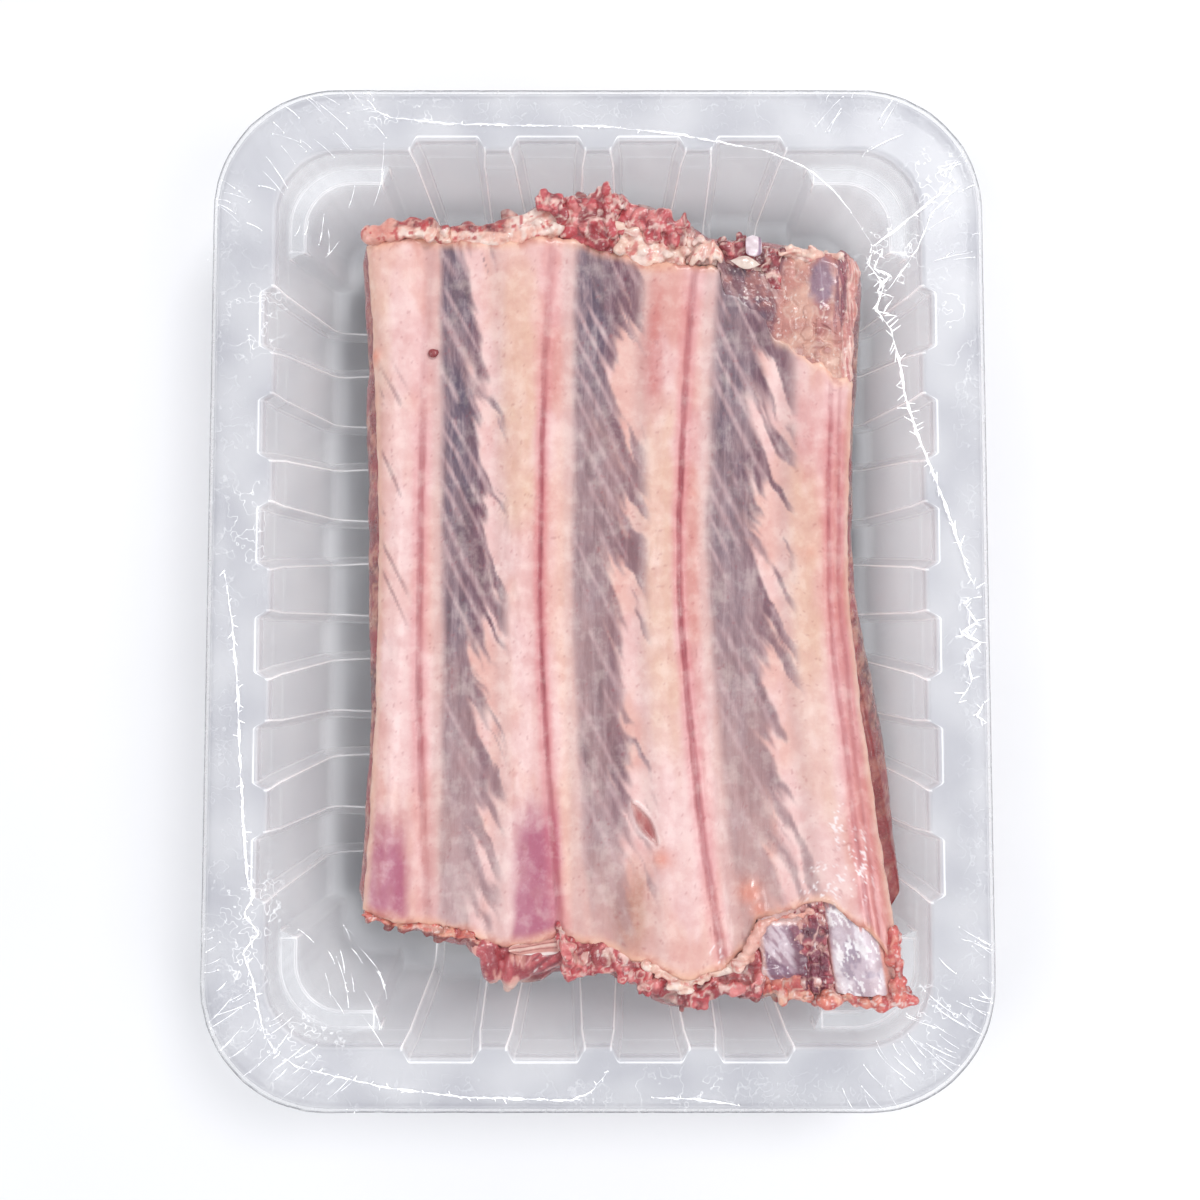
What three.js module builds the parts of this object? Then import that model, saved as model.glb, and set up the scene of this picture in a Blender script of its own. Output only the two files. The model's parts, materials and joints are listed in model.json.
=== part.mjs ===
// A tray pack of raw beef back ribs: four ribs lie bone side up in a clear ribbed tray,
// and a clear film is drawn over the mouth and in under the base.
// Millimetres. X runs across the pack, Y along it and Z up; the origin is under the middle.
import * as THREE from "three";
import { mergeVertices } from "three/addons/utils/BufferGeometryUtils.js";

// The tray: half sizes of its outer edge and of the line where the wall meets the rim
const TRAY = { halfX: 118.5, halfY: 155, rim: 50, lip: 3.4, floor: 1.5, edgeRadius: 38 };
const WALL = { halfX: 99.8, halfY: 136.4, radius: 20, draft: 0.153, foot: 9, sheet: 0.8 };
const LONG_POCKETS = { count: 6, pitch: 33.4, width: 21 };
const SHORT_POCKETS = { count: 4, pitch: 31.3, width: 23.5 };
const POCKET_DEPTH = 3.1;
const POCKET_CHAMFER = 2.5;
const LEDGE = { inset: 5, drop: 10, armX: 66.8, armY: 105.4, slant: 2.4 };
const CORNER_STEPS = 5;

// Where the meat keeps clear of a corner ledge, and how clear it keeps of the wall
const CORNER_ZONE = { x: 12, y: 27, above: 2 };
const WALL_CLEAR = 0.8;

// The film round the tray, and the gap that touching pieces keep
const FILM = { sheet: 0.35, openX: 45, openY: 75 };
const GAP = 0.35;

// Gaps between the rack's pieces: at their sides as a share of its width, and at their ends in mm
const SIDE_GAP = 0.003;
const END_GAP = { membrane: 0.45, meat: 0.1, slab: 1.2, hidden: 0.6 };

// The rack: its bone side sags along Y, and each piece is placed by s across it and y along it
const SAG_LENGTH = 120;
const RACK = { middle: 39, rise: 10, membrane: 0.9, boneDepth: 12.2, muscleDepth: 12.5, slabDepth: 12.9 };
const RIDGE = { height: 3.4, below: 1.4, fade: 0.35 };
const BONES = [
  { from: 0.0, to: 0.134 },
  { from: 0.262, to: 0.41 },
  { from: 0.555, to: 0.69 },
  { from: 0.857, to: 1.0 },
];

const clamp = THREE.MathUtils.clamp;
const lerp = THREE.MathUtils.lerp;

const looks = {
  clear: { color: 0xd6dbde, roughness: 0.12, transparent: true, opacity: 0.35 },
  film: { color: 0xf2f5f7, roughness: 0.08, transparent: true, opacity: 0.2 },
  membrane: { color: 0xcfa3a6, roughness: 0.35 },
  bone: { color: 0xe3b9ae, roughness: 0.45 },
  muscle: { color: 0x84646f, roughness: 0.4 },
  meat: { color: 0x8e2630, roughness: 0.42 },
  redMeat: { color: 0xb23a40, roughness: 0.45 },
  fat: { color: 0xe8c3b0, roughness: 0.5 },
  tanFat: { color: 0xcf967c, roughness: 0.5 },
  greyMuscle: { color: 0x857a90, roughness: 0.4 },
};

// A value read along a short list of [place, value] pairs, eased between them.
function along(list, place) {
  if (place <= list[0][0]) return list[0][1];
  const next = list.findIndex(([p]) => p >= place);
  if (next < 0) return list.at(-1)[1];
  const [p0, v0] = list[next - 1];
  const [p1, v1] = list[next];
  return lerp(v0, v1, THREE.MathUtils.smoothstep(place, p0, p1));
}

// Where the rack's edges lie, seen from above
const sagAt = (y) => (y / SAG_LENGTH) ** 2;
const leftEdge = (y) => -70.2 - 3.6 * sagAt(y);
const rightEdge = (y) => 80 + (y > 0 ? 4.5 * sagAt(y) : 13.5 * Math.abs(y / SAG_LENGTH) ** 1.2);
const rackX = (s, y) => lerp(leftEdge(y), rightEdge(y), s);
const rackLevel = (y) => RACK.middle + RACK.rise * sagAt(y);

// The membrane ends short of the meat, and is torn off at two corners
const membraneTop = [
  [0, 108.5], [0.1, 110], [0.3, 108.8], [0.39, 110.5], [0.51, 106], [0.57, 102], [0.71, 102],
  [0.725, 94.4], [0.79, 89.8], [0.835, 79.5], [0.92, 71.4], [0.963, 66.5], [1, 67.4],
];
const membraneBottom = [
  [0, -95.5], [0.08, -99.7], [0.2, -104], [0.34, -107.6], [0.45, -107.1], [0.52, -113], [0.6, -117.3],
  [0.665, -115], [0.715, -109.6], [0.745, -100.5], [0.876, -95.5], [0.934, -102.6], [1, -115],
];
const meatTop = [
  [0, 112.5], [0.05, 116], [0.11, 115], [0.24, 116], [0.3, 119], [0.38, 124], [0.47, 125],
  [0.55, 123], [0.62, 118], [0.7, 112], [0.83, 110.5], [0.94, 108], [1, 104.5],
];
const meatBottom = [
  [0, -103], [0.07, -107.5], [0.2, -112], [0.23, -120], [0.28, -124.5], [0.37, -121.5], [0.46, -118],
  [0.52, -121.5], [0.59, -128.5], [0.66, -124], [0.74, -126], [0.87, -129], [0.96, -127.5], [1, -124],
];

// The bones stand up as ridges under the membrane
function ridge(s, y) {
  let height = 0;
  for (const bone of BONES) {
    const middle = (bone.from + bone.to) / 2;
    const reach = (bone.to - bone.from) * 0.62;
    const away = clamp((s - middle) / reach, -1, 1);
    height = Math.max(height, Math.cos((away * Math.PI) / 2) ** 2);
  }
  return RIDGE.height * height * (1 - RIDGE.fade * sagAt(y)) - RIDGE.below;
}
const skinTop = (s, y) => rackLevel(y) + ridge(s, y);

// Crags of torn or sawn meat
function crags(x, y, size) {
  const coarse = Math.sin(x * 0.71 + 1.3 * Math.sin(y * 0.43)) * Math.sin(y * 0.83 + 0.6);
  const fine = Math.sin(x * 1.9 + y * 1.1) * Math.sin(y * 2.3 - x * 0.7);
  return size * (0.65 * coarse + 0.35 * fine);
}

function meshOf(name, look, points, triangles) {
  const geometry = new THREE.BufferGeometry();
  const places = points.flatMap((point) => point.toArray());
  geometry.setAttribute("position", new THREE.Float32BufferAttribute(places, 3));
  geometry.setIndex(triangles);
  const merged = mergeVertices(geometry, 1e-4);
  merged.computeVertexNormals();
  const mesh = new THREE.Mesh(merged, new THREE.MeshStandardMaterial(looks[look]));
  mesh.name = name;
  return mesh;
}

// Indices of a grid's border, counter-clockwise seen from above.
function borderOf(nu, nv) {
  const at = (i, j) => j * (nu + 1) + i;
  const loop = [];
  for (let i = 0; i < nu; i++) loop.push(at(i, 0));
  for (let j = 0; j < nv; j++) loop.push(at(nu, j));
  for (let i = nu; i > 0; i--) loop.push(at(i, nv));
  for (let j = nv; j > 0; j--) loop.push(at(0, j));
  return loop;
}

// A closed solid between two surfaces over the same u and v, whose side bulges out between them.
// u runs to +X and v to +Y.
function pillow(name, look, { top, bottom, nu, nv, rings = 1, bulge = 0, limit = null }) {
  const points = [];
  for (const surface of [top, bottom])
    for (let j = 0; j <= nv; j++)
      for (let i = 0; i <= nu; i++) points.push(surface(i / nu, j / nv));
  const lower = (nu + 1) * (nv + 1);
  const triangles = [];
  for (let j = 0; j < nv; j++)
    for (let i = 0; i < nu; i++) {
      const a = j * (nu + 1) + i;
      const [b, c, d] = [a + 1, a + nu + 2, a + nu + 1];
      triangles.push(a, b, c, a, c, d);
      triangles.push(a + lower, c + lower, b + lower, a + lower, d + lower, c + lower);
    }
  const border = borderOf(nu, nv);
  const count = border.length;
  const rows = [border];
  for (let ring = 1; ring < rings; ring++) {
    const down = ring / rings;
    rows.push(border.map((index, n) => {
      const before = points[border[(n + count - 1) % count]];
      const after = points[border[(n + 1) % count]];
      const out = new THREE.Vector3(after.y - before.y, before.x - after.x, 0).normalize();
      const point = points[index].clone().lerp(points[index + lower], down);
      point.addScaledVector(out, bulge * Math.sin(down * Math.PI));
      points.push(point);
      return points.length - 1;
    }));
  }
  rows.push(border.map((index) => index + lower));
  for (let row = 0; row + 1 < rows.length; row++)
    for (let n = 0; n < count; n++) {
      const next = (n + 1) % count;
      const [a, b, c, d] = [rows[row][n], rows[row][next], rows[row + 1][next], rows[row + 1][n]];
      triangles.push(a, d, c, a, c, b);
    }
  if (limit) points.forEach(limit);
  return meshOf(name, look, points, triangles);
}

// A point of the rack, between a lower and an upper end line.
function onRack(s, v, low, high) {
  const y = lerp(low(s), high(s), v);
  return new THREE.Vector3(rackX(s, y), y, 0);
}
const memLow = (s) => along(membraneBottom, s);
const memHigh = (s) => along(membraneTop, s);

// The furthest up (side 1) or down (side -1) that a line comes close to s, so that steep tears clear.
function furthest(line, s, side) {
  const near = 0.012;
  const values = [s - near, s, s + near].map((place) => side * line(place));
  return side * Math.max(...values);
}

function membrane() {
  const thick = RACK.membrane;
  const place = (drop) => (u, v) => {
    const point = onRack(u, v, memLow, memHigh);
    point.z = skinTop(u, point.y) - drop;
    return point;
  };
  return pillow("membrane", "membrane", { top: place(0), bottom: place(thick), nu: 30, nv: 11 });
}

// A rib: a flattened round bar, sawn off square at both ends.
function ribBone(number, low, high) {
  const bone = BONES[number - 1];
  const side = 0.012;
  const cover = RACK.membrane + GAP;
  const round = (u) => Math.sqrt(Math.max(0, 1 - (2 * u - 1) ** 2));
  const place = (upper) => (u, v) => {
    const s = lerp(bone.from + side, bone.to - side, u);
    const point = onRack(s, v, low, high);
    const skin = skinTop(s, point.y) - cover;
    const base = rackLevel(point.y) - RACK.boneDepth + 0.4;
    const middle = (skin + base) / 2;
    point.z = upper ? lerp(middle + 1.6, skin, round(u) ** 0.6) : lerp(middle - 1.6, base, round(u) ** 0.8);
    return point;
  };
  const shape = { top: place(true), bottom: place(false), nu: 6, nv: 11, rings: 2, bulge: 0.7 };
  return pillow(`rib_bone_${number}`, "bone", shape);
}

// The strip of muscle between one rib and the next.
function ribMuscle(number, low, high) {
  const from = BONES[number - 1].to + SIDE_GAP;
  const to = BONES[number].from - SIDE_GAP;
  const place = (upper) => (u, v) => {
    const s = lerp(from, to, u);
    const point = onRack(s, v, low, high);
    point.z = upper
      ? skinTop(s, point.y) - RACK.membrane - GAP
      : rackLevel(point.y) - RACK.muscleDepth;
    return point;
  };
  return pillow(`rib_muscle_${number}`, "muscle", { top: place(true), bottom: place(false), nu: 4, nv: 11 });
}

// Keeps a point clear of the tray's wall and of the ledges in its corners.
function insideTray(point) {
  const fall = Math.max(0, TRAY.rim - point.z) * WALL.draft;
  const besideX = Math.abs(point.x) > LEDGE.armX - CORNER_ZONE.x;
  const besideY = Math.abs(point.y) > LEDGE.armY - CORNER_ZONE.y;
  const below = point.z < TRAY.rim - LEDGE.drop + CORNER_ZONE.above;
  const inset = fall + (besideX && besideY && below ? LEDGE.inset : 0) + WALL_CLEAR;
  const halfX = WALL.halfX - inset - WALL.radius;
  const halfY = WALL.halfY - inset - WALL.radius;
  const dx = Math.abs(point.x) - halfX;
  const dy = Math.abs(point.y) - halfY;
  if (dx > WALL.radius) point.x = Math.sign(point.x) * (halfX + WALL.radius);
  if (dy > WALL.radius) point.y = Math.sign(point.y) * (halfY + WALL.radius);
  const reach = Math.hypot(Math.max(dx, 0), Math.max(dy, 0));
  if (dx > 0 && dy > 0 && reach > WALL.radius) {
    point.x = Math.sign(point.x) * (halfX + (dx * WALL.radius) / reach);
    point.y = Math.sign(point.y) * (halfY + (dy * WALL.radius) / reach);
  }
}

// The thick meat under the ribs, which bulges out past them and fills the tray.
function meatSlab() {
  const low = (s) => along(meatBottom, s) + END_GAP.slab;
  const high = (s) => along(meatTop, s) - END_GAP.slab;
  const place = (upper) => (u, v) => {
    const squeeze = upper ? -0.02 : 0.03;
    const point = onRack(lerp(squeeze, 1 - squeeze, u), v, low, high);
    const t = sagAt(point.y);
    point.z = upper ? rackLevel(point.y) - RACK.slabDepth : 1.95 + 4.5 * t * t;
    if (!upper) point.y *= 0.97;
    return point;
  };
  const shape = { top: place(true), bottom: place(false), nu: 16, nv: 11, rings: 4, bulge: 9.2 };
  return pillow("meat_slab", "meat", { ...shape, limit: insideTray });
}

// A lump at an end of the rack. It covers s from and to, and a share of the way from the
// membrane's end to the meat's end.
function endLump(lump) {
  const { name, look, end, from, to, near = 0, far = 1, drop = 1, crag = 0.5, rise = 0, nu = 5, nv = 3 } = lump;
  const [mem, meat] = end === "top" ? [membraneTop, meatTop] : [membraneBottom, meatBottom];
  const sign = end === "top" ? 1 : -1;
  const line = (share) => (s) => lerp(along(mem, s), along(meat, s), share);
  const low = (s) => furthest(line(near), s, sign) + sign * END_GAP.membrane;
  const high = (s) => furthest(line(far), s, -sign) - sign * END_GAP.meat;
  const [down, up] = sign > 0 ? [low, high] : [high, low];
  const place = (upper) => (u, v) => {
    const s = lerp(from + SIDE_GAP, to - SIDE_GAP, u);
    const point = onRack(s, v, down, up);
    const level = rackLevel(point.y);
    const hump = Math.sin(Math.PI * clamp(u, 0.06, 0.94)) * Math.sin(Math.PI * clamp(v, 0.1, 0.9));
    const surface = level - drop + rise * hump + crags(point.x, point.y, crag) * (0.3 + hump);
    point.z = upper ? Math.min(surface, TRAY.rim - 0.4) : level - RACK.muscleDepth;
    return point;
  };
  return pillow(name, look, { top: place(true), bottom: place(false), nu, nv, limit: insideTray });
}

const endLumps = [
  { name: "cartilage_lump", look: "fat", from: 0.134, to: 0.172, far: 0.8, drop: 0.4, rise: 1, nu: 3 },
  { name: "fat_lip_top", look: "fat", from: 0.172, to: 0.39, far: 1, drop: 1.6, rise: 1, nu: 10 },
  {
    name: "trim_meat_top_left", look: "redMeat", from: 0.39, to: 0.51,
    drop: 1.2, rise: 1.2, crag: 0.9, nu: 7, nv: 5,
  },
  { name: "fat_strip_top", look: "fat", from: 0.51, to: 0.645, far: 0.46, drop: 1.2, rise: 0.8, nu: 7 },
  {
    name: "trim_meat_top_right", look: "redMeat", from: 0.51, to: 0.645, near: 0.48,
    drop: 1, rise: 0.9, crag: 0.9, nu: 7, nv: 4,
  },
  { name: "fat_curl", look: "fat", from: 0.645, to: 0.712, drop: 0.6, rise: 0.9, crag: 0.8, nu: 5, nv: 4 },
  {
    name: "torn_muscle_top", look: "muscle", from: 0.73, to: 0.835, far: 0.52,
    drop: 4.2, rise: 0.4, crag: 0.4, nu: 6, nv: 5,
  },
  {
    name: "trim_meat_corner", look: "redMeat", from: 0.73, to: 0.835, near: 0.56,
    drop: 3.2, rise: 0.6, nu: 6, nv: 3,
  },
  {
    name: "torn_fat_top", look: "tanFat", from: 0.835, to: 0.888, far: 0.88,
    drop: 2, rise: 1, crag: 0.7, nu: 4, nv: 6,
  },
  {
    name: "torn_flap_top", look: "tanFat", from: 0.888, to: 0.96, far: 0.32,
    drop: 2, rise: 0.8, crag: 0.6, nu: 4, nv: 3,
  },
  {
    name: "grey_muscle_top", look: "greyMuscle", from: 0.888, to: 0.96, near: 0.34, far: 0.88,
    drop: 2.4, rise: 1, crag: 0.2, nu: 4, nv: 4,
  },
  {
    name: "fat_rim_top", look: "fat", from: 0.835, to: 0.96, near: 0.9,
    drop: 1.2, rise: 0.5, nu: 6, nv: 2,
  },
  { name: "meat_edge_top", look: "tanFat", from: 0.96, to: 1, drop: 2.6, rise: 0.6, nu: 2, nv: 8 },
  { name: "fat_rim_bottom", look: "tanFat", end: "bottom", from: 0, to: 0.215, drop: 3, rise: 1, nu: 10 },
  {
    name: "meat_lobe", look: "redMeat", end: "bottom", from: 0.215, to: 0.425, near: 0.36,
    drop: 5, rise: 2, nu: 9, nv: 4,
  },
  {
    name: "trim_meat_bottom_left", look: "redMeat", end: "bottom", from: 0.425, to: 0.53,
    drop: 2, rise: 1, crag: 0.9, nu: 5,
  },
  {
    name: "fat_edge_bottom", look: "fat", end: "bottom", from: 0.53, to: 0.69, far: 0.36,
    drop: 1.4, rise: 0.6, nu: 7, nv: 2,
  },
  {
    name: "trim_meat_bottom_right", look: "redMeat", end: "bottom", from: 0.53, to: 0.745,
    near: 0.4, drop: 2.6, rise: 1, crag: 0.9, nu: 9, nv: 3,
  },
  {
    name: "grey_muscle_bottom", look: "greyMuscle", end: "bottom", from: 0.745, to: 0.815,
    far: 0.74, drop: 1.4, rise: 1, crag: 0.25, nu: 4, nv: 5,
  },
  {
    name: "trim_meat_lip", look: "redMeat", end: "bottom", from: 0.745, to: 0.815, near: 0.77,
    drop: 3, nu: 4, nv: 2,
  },
  {
    name: "torn_meat_bottom", look: "meat", end: "bottom", from: 0.815, to: 0.862,
    drop: 2.6, rise: 0.8, crag: 0.7, nu: 3, nv: 6,
  },
];

// A small loose piece lying on the rack's top surface.
function scrap(name, look, s, y, halfX, halfY, thick) {
  const middle = rackX(s, y);
  const lift = 0.8;
  const place = (upper) => (u, v) => {
    const [a, b] = [2 * u - 1, 2 * v - 1];
    const pointX = middle + halfX * a * Math.sqrt(1 - (b * b) / 2);
    const pointY = y + halfY * b * Math.sqrt(1 - (a * a) / 2);
    const dome = lerp(0.25, 1, (1 - a * a) * (1 - b * b));
    const pointZ = skinTop(s, pointY) + lift;
    return new THREE.Vector3(pointX, pointY, upper ? pointZ + thick * dome : pointZ);
  };
  return pillow(name, look, { top: place(true), bottom: place(false), nu: 4, nv: 4 });
}

// Stations round the tray: each is a place on a side or in a corner, with its pocket and ledge.
function sideStations(half, pockets, arm) {
  const list = [];
  for (let n = 0; n < pockets.count; n++) {
    const middle = (n - (pockets.count - 1) / 2) * pockets.pitch;
    for (const [edge, pocket] of [[-1, 0], [-1, 1], [1, 1], [1, 0]]) {
      const reach = pockets.width / 2 - (pocket ? POCKET_CHAMFER : 0);
      list.push({ place: middle + edge * reach, edge, pocket, ledge: 0 });
    }
  }
  const arms = [
    { place: arm, edge: 0, pocket: 0, ledge: 0 },
    { place: arm + LEDGE.slant, edge: 0, pocket: 0, ledge: 1 },
  ];
  const mirrored = arms.map((station) => ({ ...station, place: -station.place })).reverse();
  return [...mirrored, ...list, ...arms].map((station) => ({ ...station, half }));
}

function trayStations() {
  const stations = [];
  const sides = [
    { turn: 0, list: sideStations(WALL.halfY, LONG_POCKETS, LEDGE.armY) },
    { turn: 1, list: sideStations(WALL.halfX, SHORT_POCKETS, LEDGE.armX) },
    { turn: 2, list: sideStations(WALL.halfY, LONG_POCKETS, LEDGE.armY) },
    { turn: 3, list: sideStations(WALL.halfX, SHORT_POCKETS, LEDGE.armX) },
  ];
  for (const { turn, list } of sides) {
    stations.push(...list.map((station) => ({ ...station, turn })));
    for (let n = 0; n <= CORNER_STEPS; n++)
      stations.push({ turn, corner: ((n / CORNER_STEPS) * Math.PI) / 2, pocket: 0, ledge: 1 });
  }
  return stations;
}

// A closed loop round the pack at one level, seen counter-clockwise from above.
function loopAt(stations, { halfX, halfY, radius, z, depth = 0, narrow = 0, ledge = 0, rib = 0 }) {
  return stations.map((station) => {
    const across = station.turn % 2 === 0;
    const [out, side] = across ? [halfX, halfY] : [halfY, halfX];
    let [a, b] = [0, 0];
    if (station.corner === undefined) {
      const inset = station.ledge * ledge;
      a = out - inset + station.pocket * depth;
      b = clamp(station.place - station.edge * narrow, radius + 0.2 - side, side - radius - 0.2);
    } else {
      const tight = Math.max(radius - ledge, 2);
      a = out - radius + tight * Math.cos(station.corner);
      b = side - radius + tight * Math.sin(station.corner);
    }
    const angle = (station.turn * Math.PI) / 2;
    const [cos, sin] = [Math.round(Math.cos(angle)), Math.round(Math.sin(angle))];
    const level = z + (station.pocket ? 0 : rib);
    return new THREE.Vector3(a * cos - b * sin, a * sin + b * cos, level);
  });
}

// A thin sheet with two faces: loops down the upper face and back up the lower one, closed at the
// sheet's edge and in its middle.
function sheetOf(name, look, upper, lower, middleTop, middleLow) {
  const points = [];
  const triangles = [];
  const count = upper[0].length;
  const rows = [...upper, ...lower.toReversed()].map((loop) => {
    points.push(...loop);
    return points.length - count;
  });
  for (let row = 0; row + 1 < rows.length; row++) {
    if (row === upper.length - 1) continue;
    for (let n = 0; n < count; n++) {
      const next = (n + 1) % count;
      const [here, there] = [rows[row], rows[row + 1]];
      triangles.push(here + n, here + next, there + next, here + n, there + next, there + n);
    }
  }
  points.push(middleTop, middleLow);
  const [top, low] = [points.length - 2, points.length - 1];
  const [lastUp, lastLow] = [rows[upper.length - 1], rows[upper.length]];
  const [firstUp, firstLow] = [rows[0], rows.at(-1)];
  for (let n = 0; n < count; n++) {
    const next = (n + 1) % count;
    triangles.push(lastUp + n, lastUp + next, top, lastLow + next, lastLow + n, low);
    triangles.push(firstLow + n, firstLow + next, firstUp + next, firstLow + n, firstUp + next, firstUp + n);
  }
  return meshOf(name, look, points, triangles);
}

// One row of the tray's section: how far in from the wall line, the height, and the pockets' depth.
const wallRow = (inset, z, more = {}) => ({
  halfX: WALL.halfX - inset,
  halfY: WALL.halfY - inset,
  radius: WALL.radius - inset * 0.3,
  z,
  ...more,
});
const edgeRow = (inset, z) => ({
  halfX: TRAY.halfX - inset,
  halfY: TRAY.halfY - inset,
  radius: TRAY.edgeRadius - inset,
  z,
});

function tray() {
  const stations = trayStations();
  const { rim, lip, floor } = TRAY;
  const { sheet, draft, foot } = WALL;
  const shelf = rim - LEDGE.drop;
  const wallIn = (z) => (rim - z) * draft;
  const mouth = { depth: POCKET_DEPTH };
  const high = { depth: POCKET_DEPTH, narrow: 1 };
  const onLedge = { ...high, ledge: LEDGE.inset };
  const low = { depth: 2.7, narrow: 2.2, ledge: LEDGE.inset };
  const bend = { depth: 2.2, narrow: 2.4, ledge: LEDGE.inset };
  const rib = { depth: 1.4, narrow: 2.6, rib: 0.5, ledge: LEDGE.inset };
  const upper = [
    edgeRow(0, rim - lip),
    edgeRow(0.3, rim - sheet),
    edgeRow(1.1, rim),
    wallRow(-0.3, rim - 0.1, mouth),
    wallRow(wallIn(shelf), shelf + 0.2, high),
    wallRow(wallIn(shelf), shelf - 0.2, onLedge),
    wallRow(wallIn(foot), foot, low),
    wallRow(8.2, floor + 1.9, bend),
    wallRow(11.8, floor, rib),
    wallRow(20, floor),
  ];
  const lower = [
    edgeRow(sheet, rim - lip),
    edgeRow(sheet + 0.3, rim - sheet - 0.4),
    edgeRow(sheet + 0.9, rim - sheet),
    wallRow(-0.3 - sheet, rim - 0.1 - sheet, mouth),
    wallRow(wallIn(shelf) - sheet, shelf + 0.4 - sheet, high),
    wallRow(wallIn(shelf) - sheet, shelf - 0.2 - sheet, onLedge),
    wallRow(wallIn(foot) - sheet, foot - 0.2, low),
    wallRow(8.2 - 0.7, floor + 2.2 - sheet, bend),
    wallRow(11.6, floor - sheet, rib),
    wallRow(20, floor - sheet),
  ];
  const loops = (rows) => rows.map((row) => loopAt(stations, row));
  const middle = (z) => new THREE.Vector3(0, 0, z);
  return sheetOf("tray", "clear", loops(upper), loops(lower), middle(floor), middle(floor - sheet));
}

// Stations of the film, which has no pockets or ledges.
function filmStations() {
  const stations = [];
  const shares = [-0.66, -0.33, 0, 0.33, 0.66];
  for (let turn = 0; turn < 4; turn++) {
    const half = turn % 2 === 0 ? WALL.halfY : WALL.halfX;
    for (const share of shares) stations.push({ turn, place: share * half, edge: 0, pocket: 0, ledge: 0 });
    for (let n = 0; n <= CORNER_STEPS; n++)
      stations.push({ turn, corner: ((n / CORNER_STEPS) * Math.PI) / 2, pocket: 0, ledge: 0 });
  }
  return stations;
}

// The film: taut over the mouth, round the rim, down to the foot of the wall and in under the base.
function film() {
  const stations = filmStations();
  const { sheet } = FILM;
  const top = TRAY.rim + GAP;
  const rows = (thick) => [
    { halfX: 60, halfY: 90, radius: 20, z: top + thick },
    wallRow(0, top + thick),
    edgeRow(1 - thick, top + thick),
    edgeRow(-GAP - thick, TRAY.rim - 0.7 + thick * 0.5),
    edgeRow(-GAP - thick, TRAY.rim - 3.6),
    wallRow(1.3 - thick, 8.1, { radius: 22 }),
    wallRow(4.9 - thick, 2.4 - thick * 0.6, { radius: 20 }),
    wallRow(9 - thick * 0.5, sheet - thick, { radius: 18 }),
    { halfX: FILM.openX, halfY: FILM.openY, radius: 12, z: sheet - thick },
  ];
  const loops = (thick) => rows(thick).map((row) => loopAt(stations, row));
  const middle = (z) => new THREE.Vector3(0, 0, z);
  const [outer, inner] = [loops(sheet).toReversed(), loops(0).toReversed()];
  return sheetOf("film", "film", outer, inner, middle(top + sheet), middle(top));
}

// The bones' and muscles' end lines: most end just inside the membrane, three run on past it.
const lowEnd = (s) => furthest(memLow, s, 1) + END_GAP.hidden;
const highEnd = (s) => furthest(memHigh, s, -1) - END_GAP.hidden;
const straight = (y) => () => y;

const pack = new THREE.Group();
pack.add(tray(), film(), meatSlab(), membrane());
pack.add(ribBone(1, lowEnd, straight(115.2)));
pack.add(ribBone(2, straight(-111.4), highEnd));
pack.add(ribBone(3, lowEnd, highEnd));
pack.add(ribBone(4, straight(-122), highEnd));
for (const number of [1, 2, 3]) pack.add(ribMuscle(number, lowEnd, highEnd));
for (const lump of endLumps) pack.add(endLump({ end: "top", ...lump }));
pack.add(scrap("meat_scrap", "meat", 0.128, 74.5, 1.6, 1.4, 1.6));

export default pack;
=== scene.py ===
"""Looks of a tray pack of raw beef back ribs: a clear ribbed tray, a clear film round it, and the
rack of four ribs inside, bone side up."""

import json
import math
from functools import partial

import bmesh
import bpy
import numpy as np
from bpy.props import FloatProperty, FloatVectorProperty, PointerProperty
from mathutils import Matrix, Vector

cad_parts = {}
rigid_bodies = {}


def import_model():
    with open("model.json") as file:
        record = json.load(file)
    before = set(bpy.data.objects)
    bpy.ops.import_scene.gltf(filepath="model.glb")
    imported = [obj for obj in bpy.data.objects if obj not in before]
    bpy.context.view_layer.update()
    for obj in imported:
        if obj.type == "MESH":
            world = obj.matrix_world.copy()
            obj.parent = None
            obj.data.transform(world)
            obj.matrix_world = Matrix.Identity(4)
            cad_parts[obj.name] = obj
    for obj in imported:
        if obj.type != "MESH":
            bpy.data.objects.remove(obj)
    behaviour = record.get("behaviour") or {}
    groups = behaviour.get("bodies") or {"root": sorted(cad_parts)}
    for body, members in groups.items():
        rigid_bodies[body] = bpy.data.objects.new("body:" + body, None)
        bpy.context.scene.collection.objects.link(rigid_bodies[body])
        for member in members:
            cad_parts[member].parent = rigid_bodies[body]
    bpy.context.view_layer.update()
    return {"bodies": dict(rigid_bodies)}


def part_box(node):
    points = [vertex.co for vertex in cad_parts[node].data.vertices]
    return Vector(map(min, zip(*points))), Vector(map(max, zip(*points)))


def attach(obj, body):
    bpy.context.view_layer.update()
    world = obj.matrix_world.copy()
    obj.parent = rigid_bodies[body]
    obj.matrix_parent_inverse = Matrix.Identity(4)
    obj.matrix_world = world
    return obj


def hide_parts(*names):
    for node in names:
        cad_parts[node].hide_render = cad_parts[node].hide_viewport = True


bl_info = {
    "name": "Rib tray pack",
    "version": (1, 0, 0),
    "blender": (4, 5, 0),
    "location": "View3D > Sidebar > Rib pack",
    "description": "Builds the looks of a tray pack of beef back ribs",
    "category": "Object",
}

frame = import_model()
BODY = next(iter(frame["bodies"]))

# Lengths are worked out in millimetres, and become metres when a mesh is made
MM = 0.001
TRAY_HIGH, FILM_HIGH = (tuple(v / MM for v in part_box(node)[1]) for node in ("tray", "film"))

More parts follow.
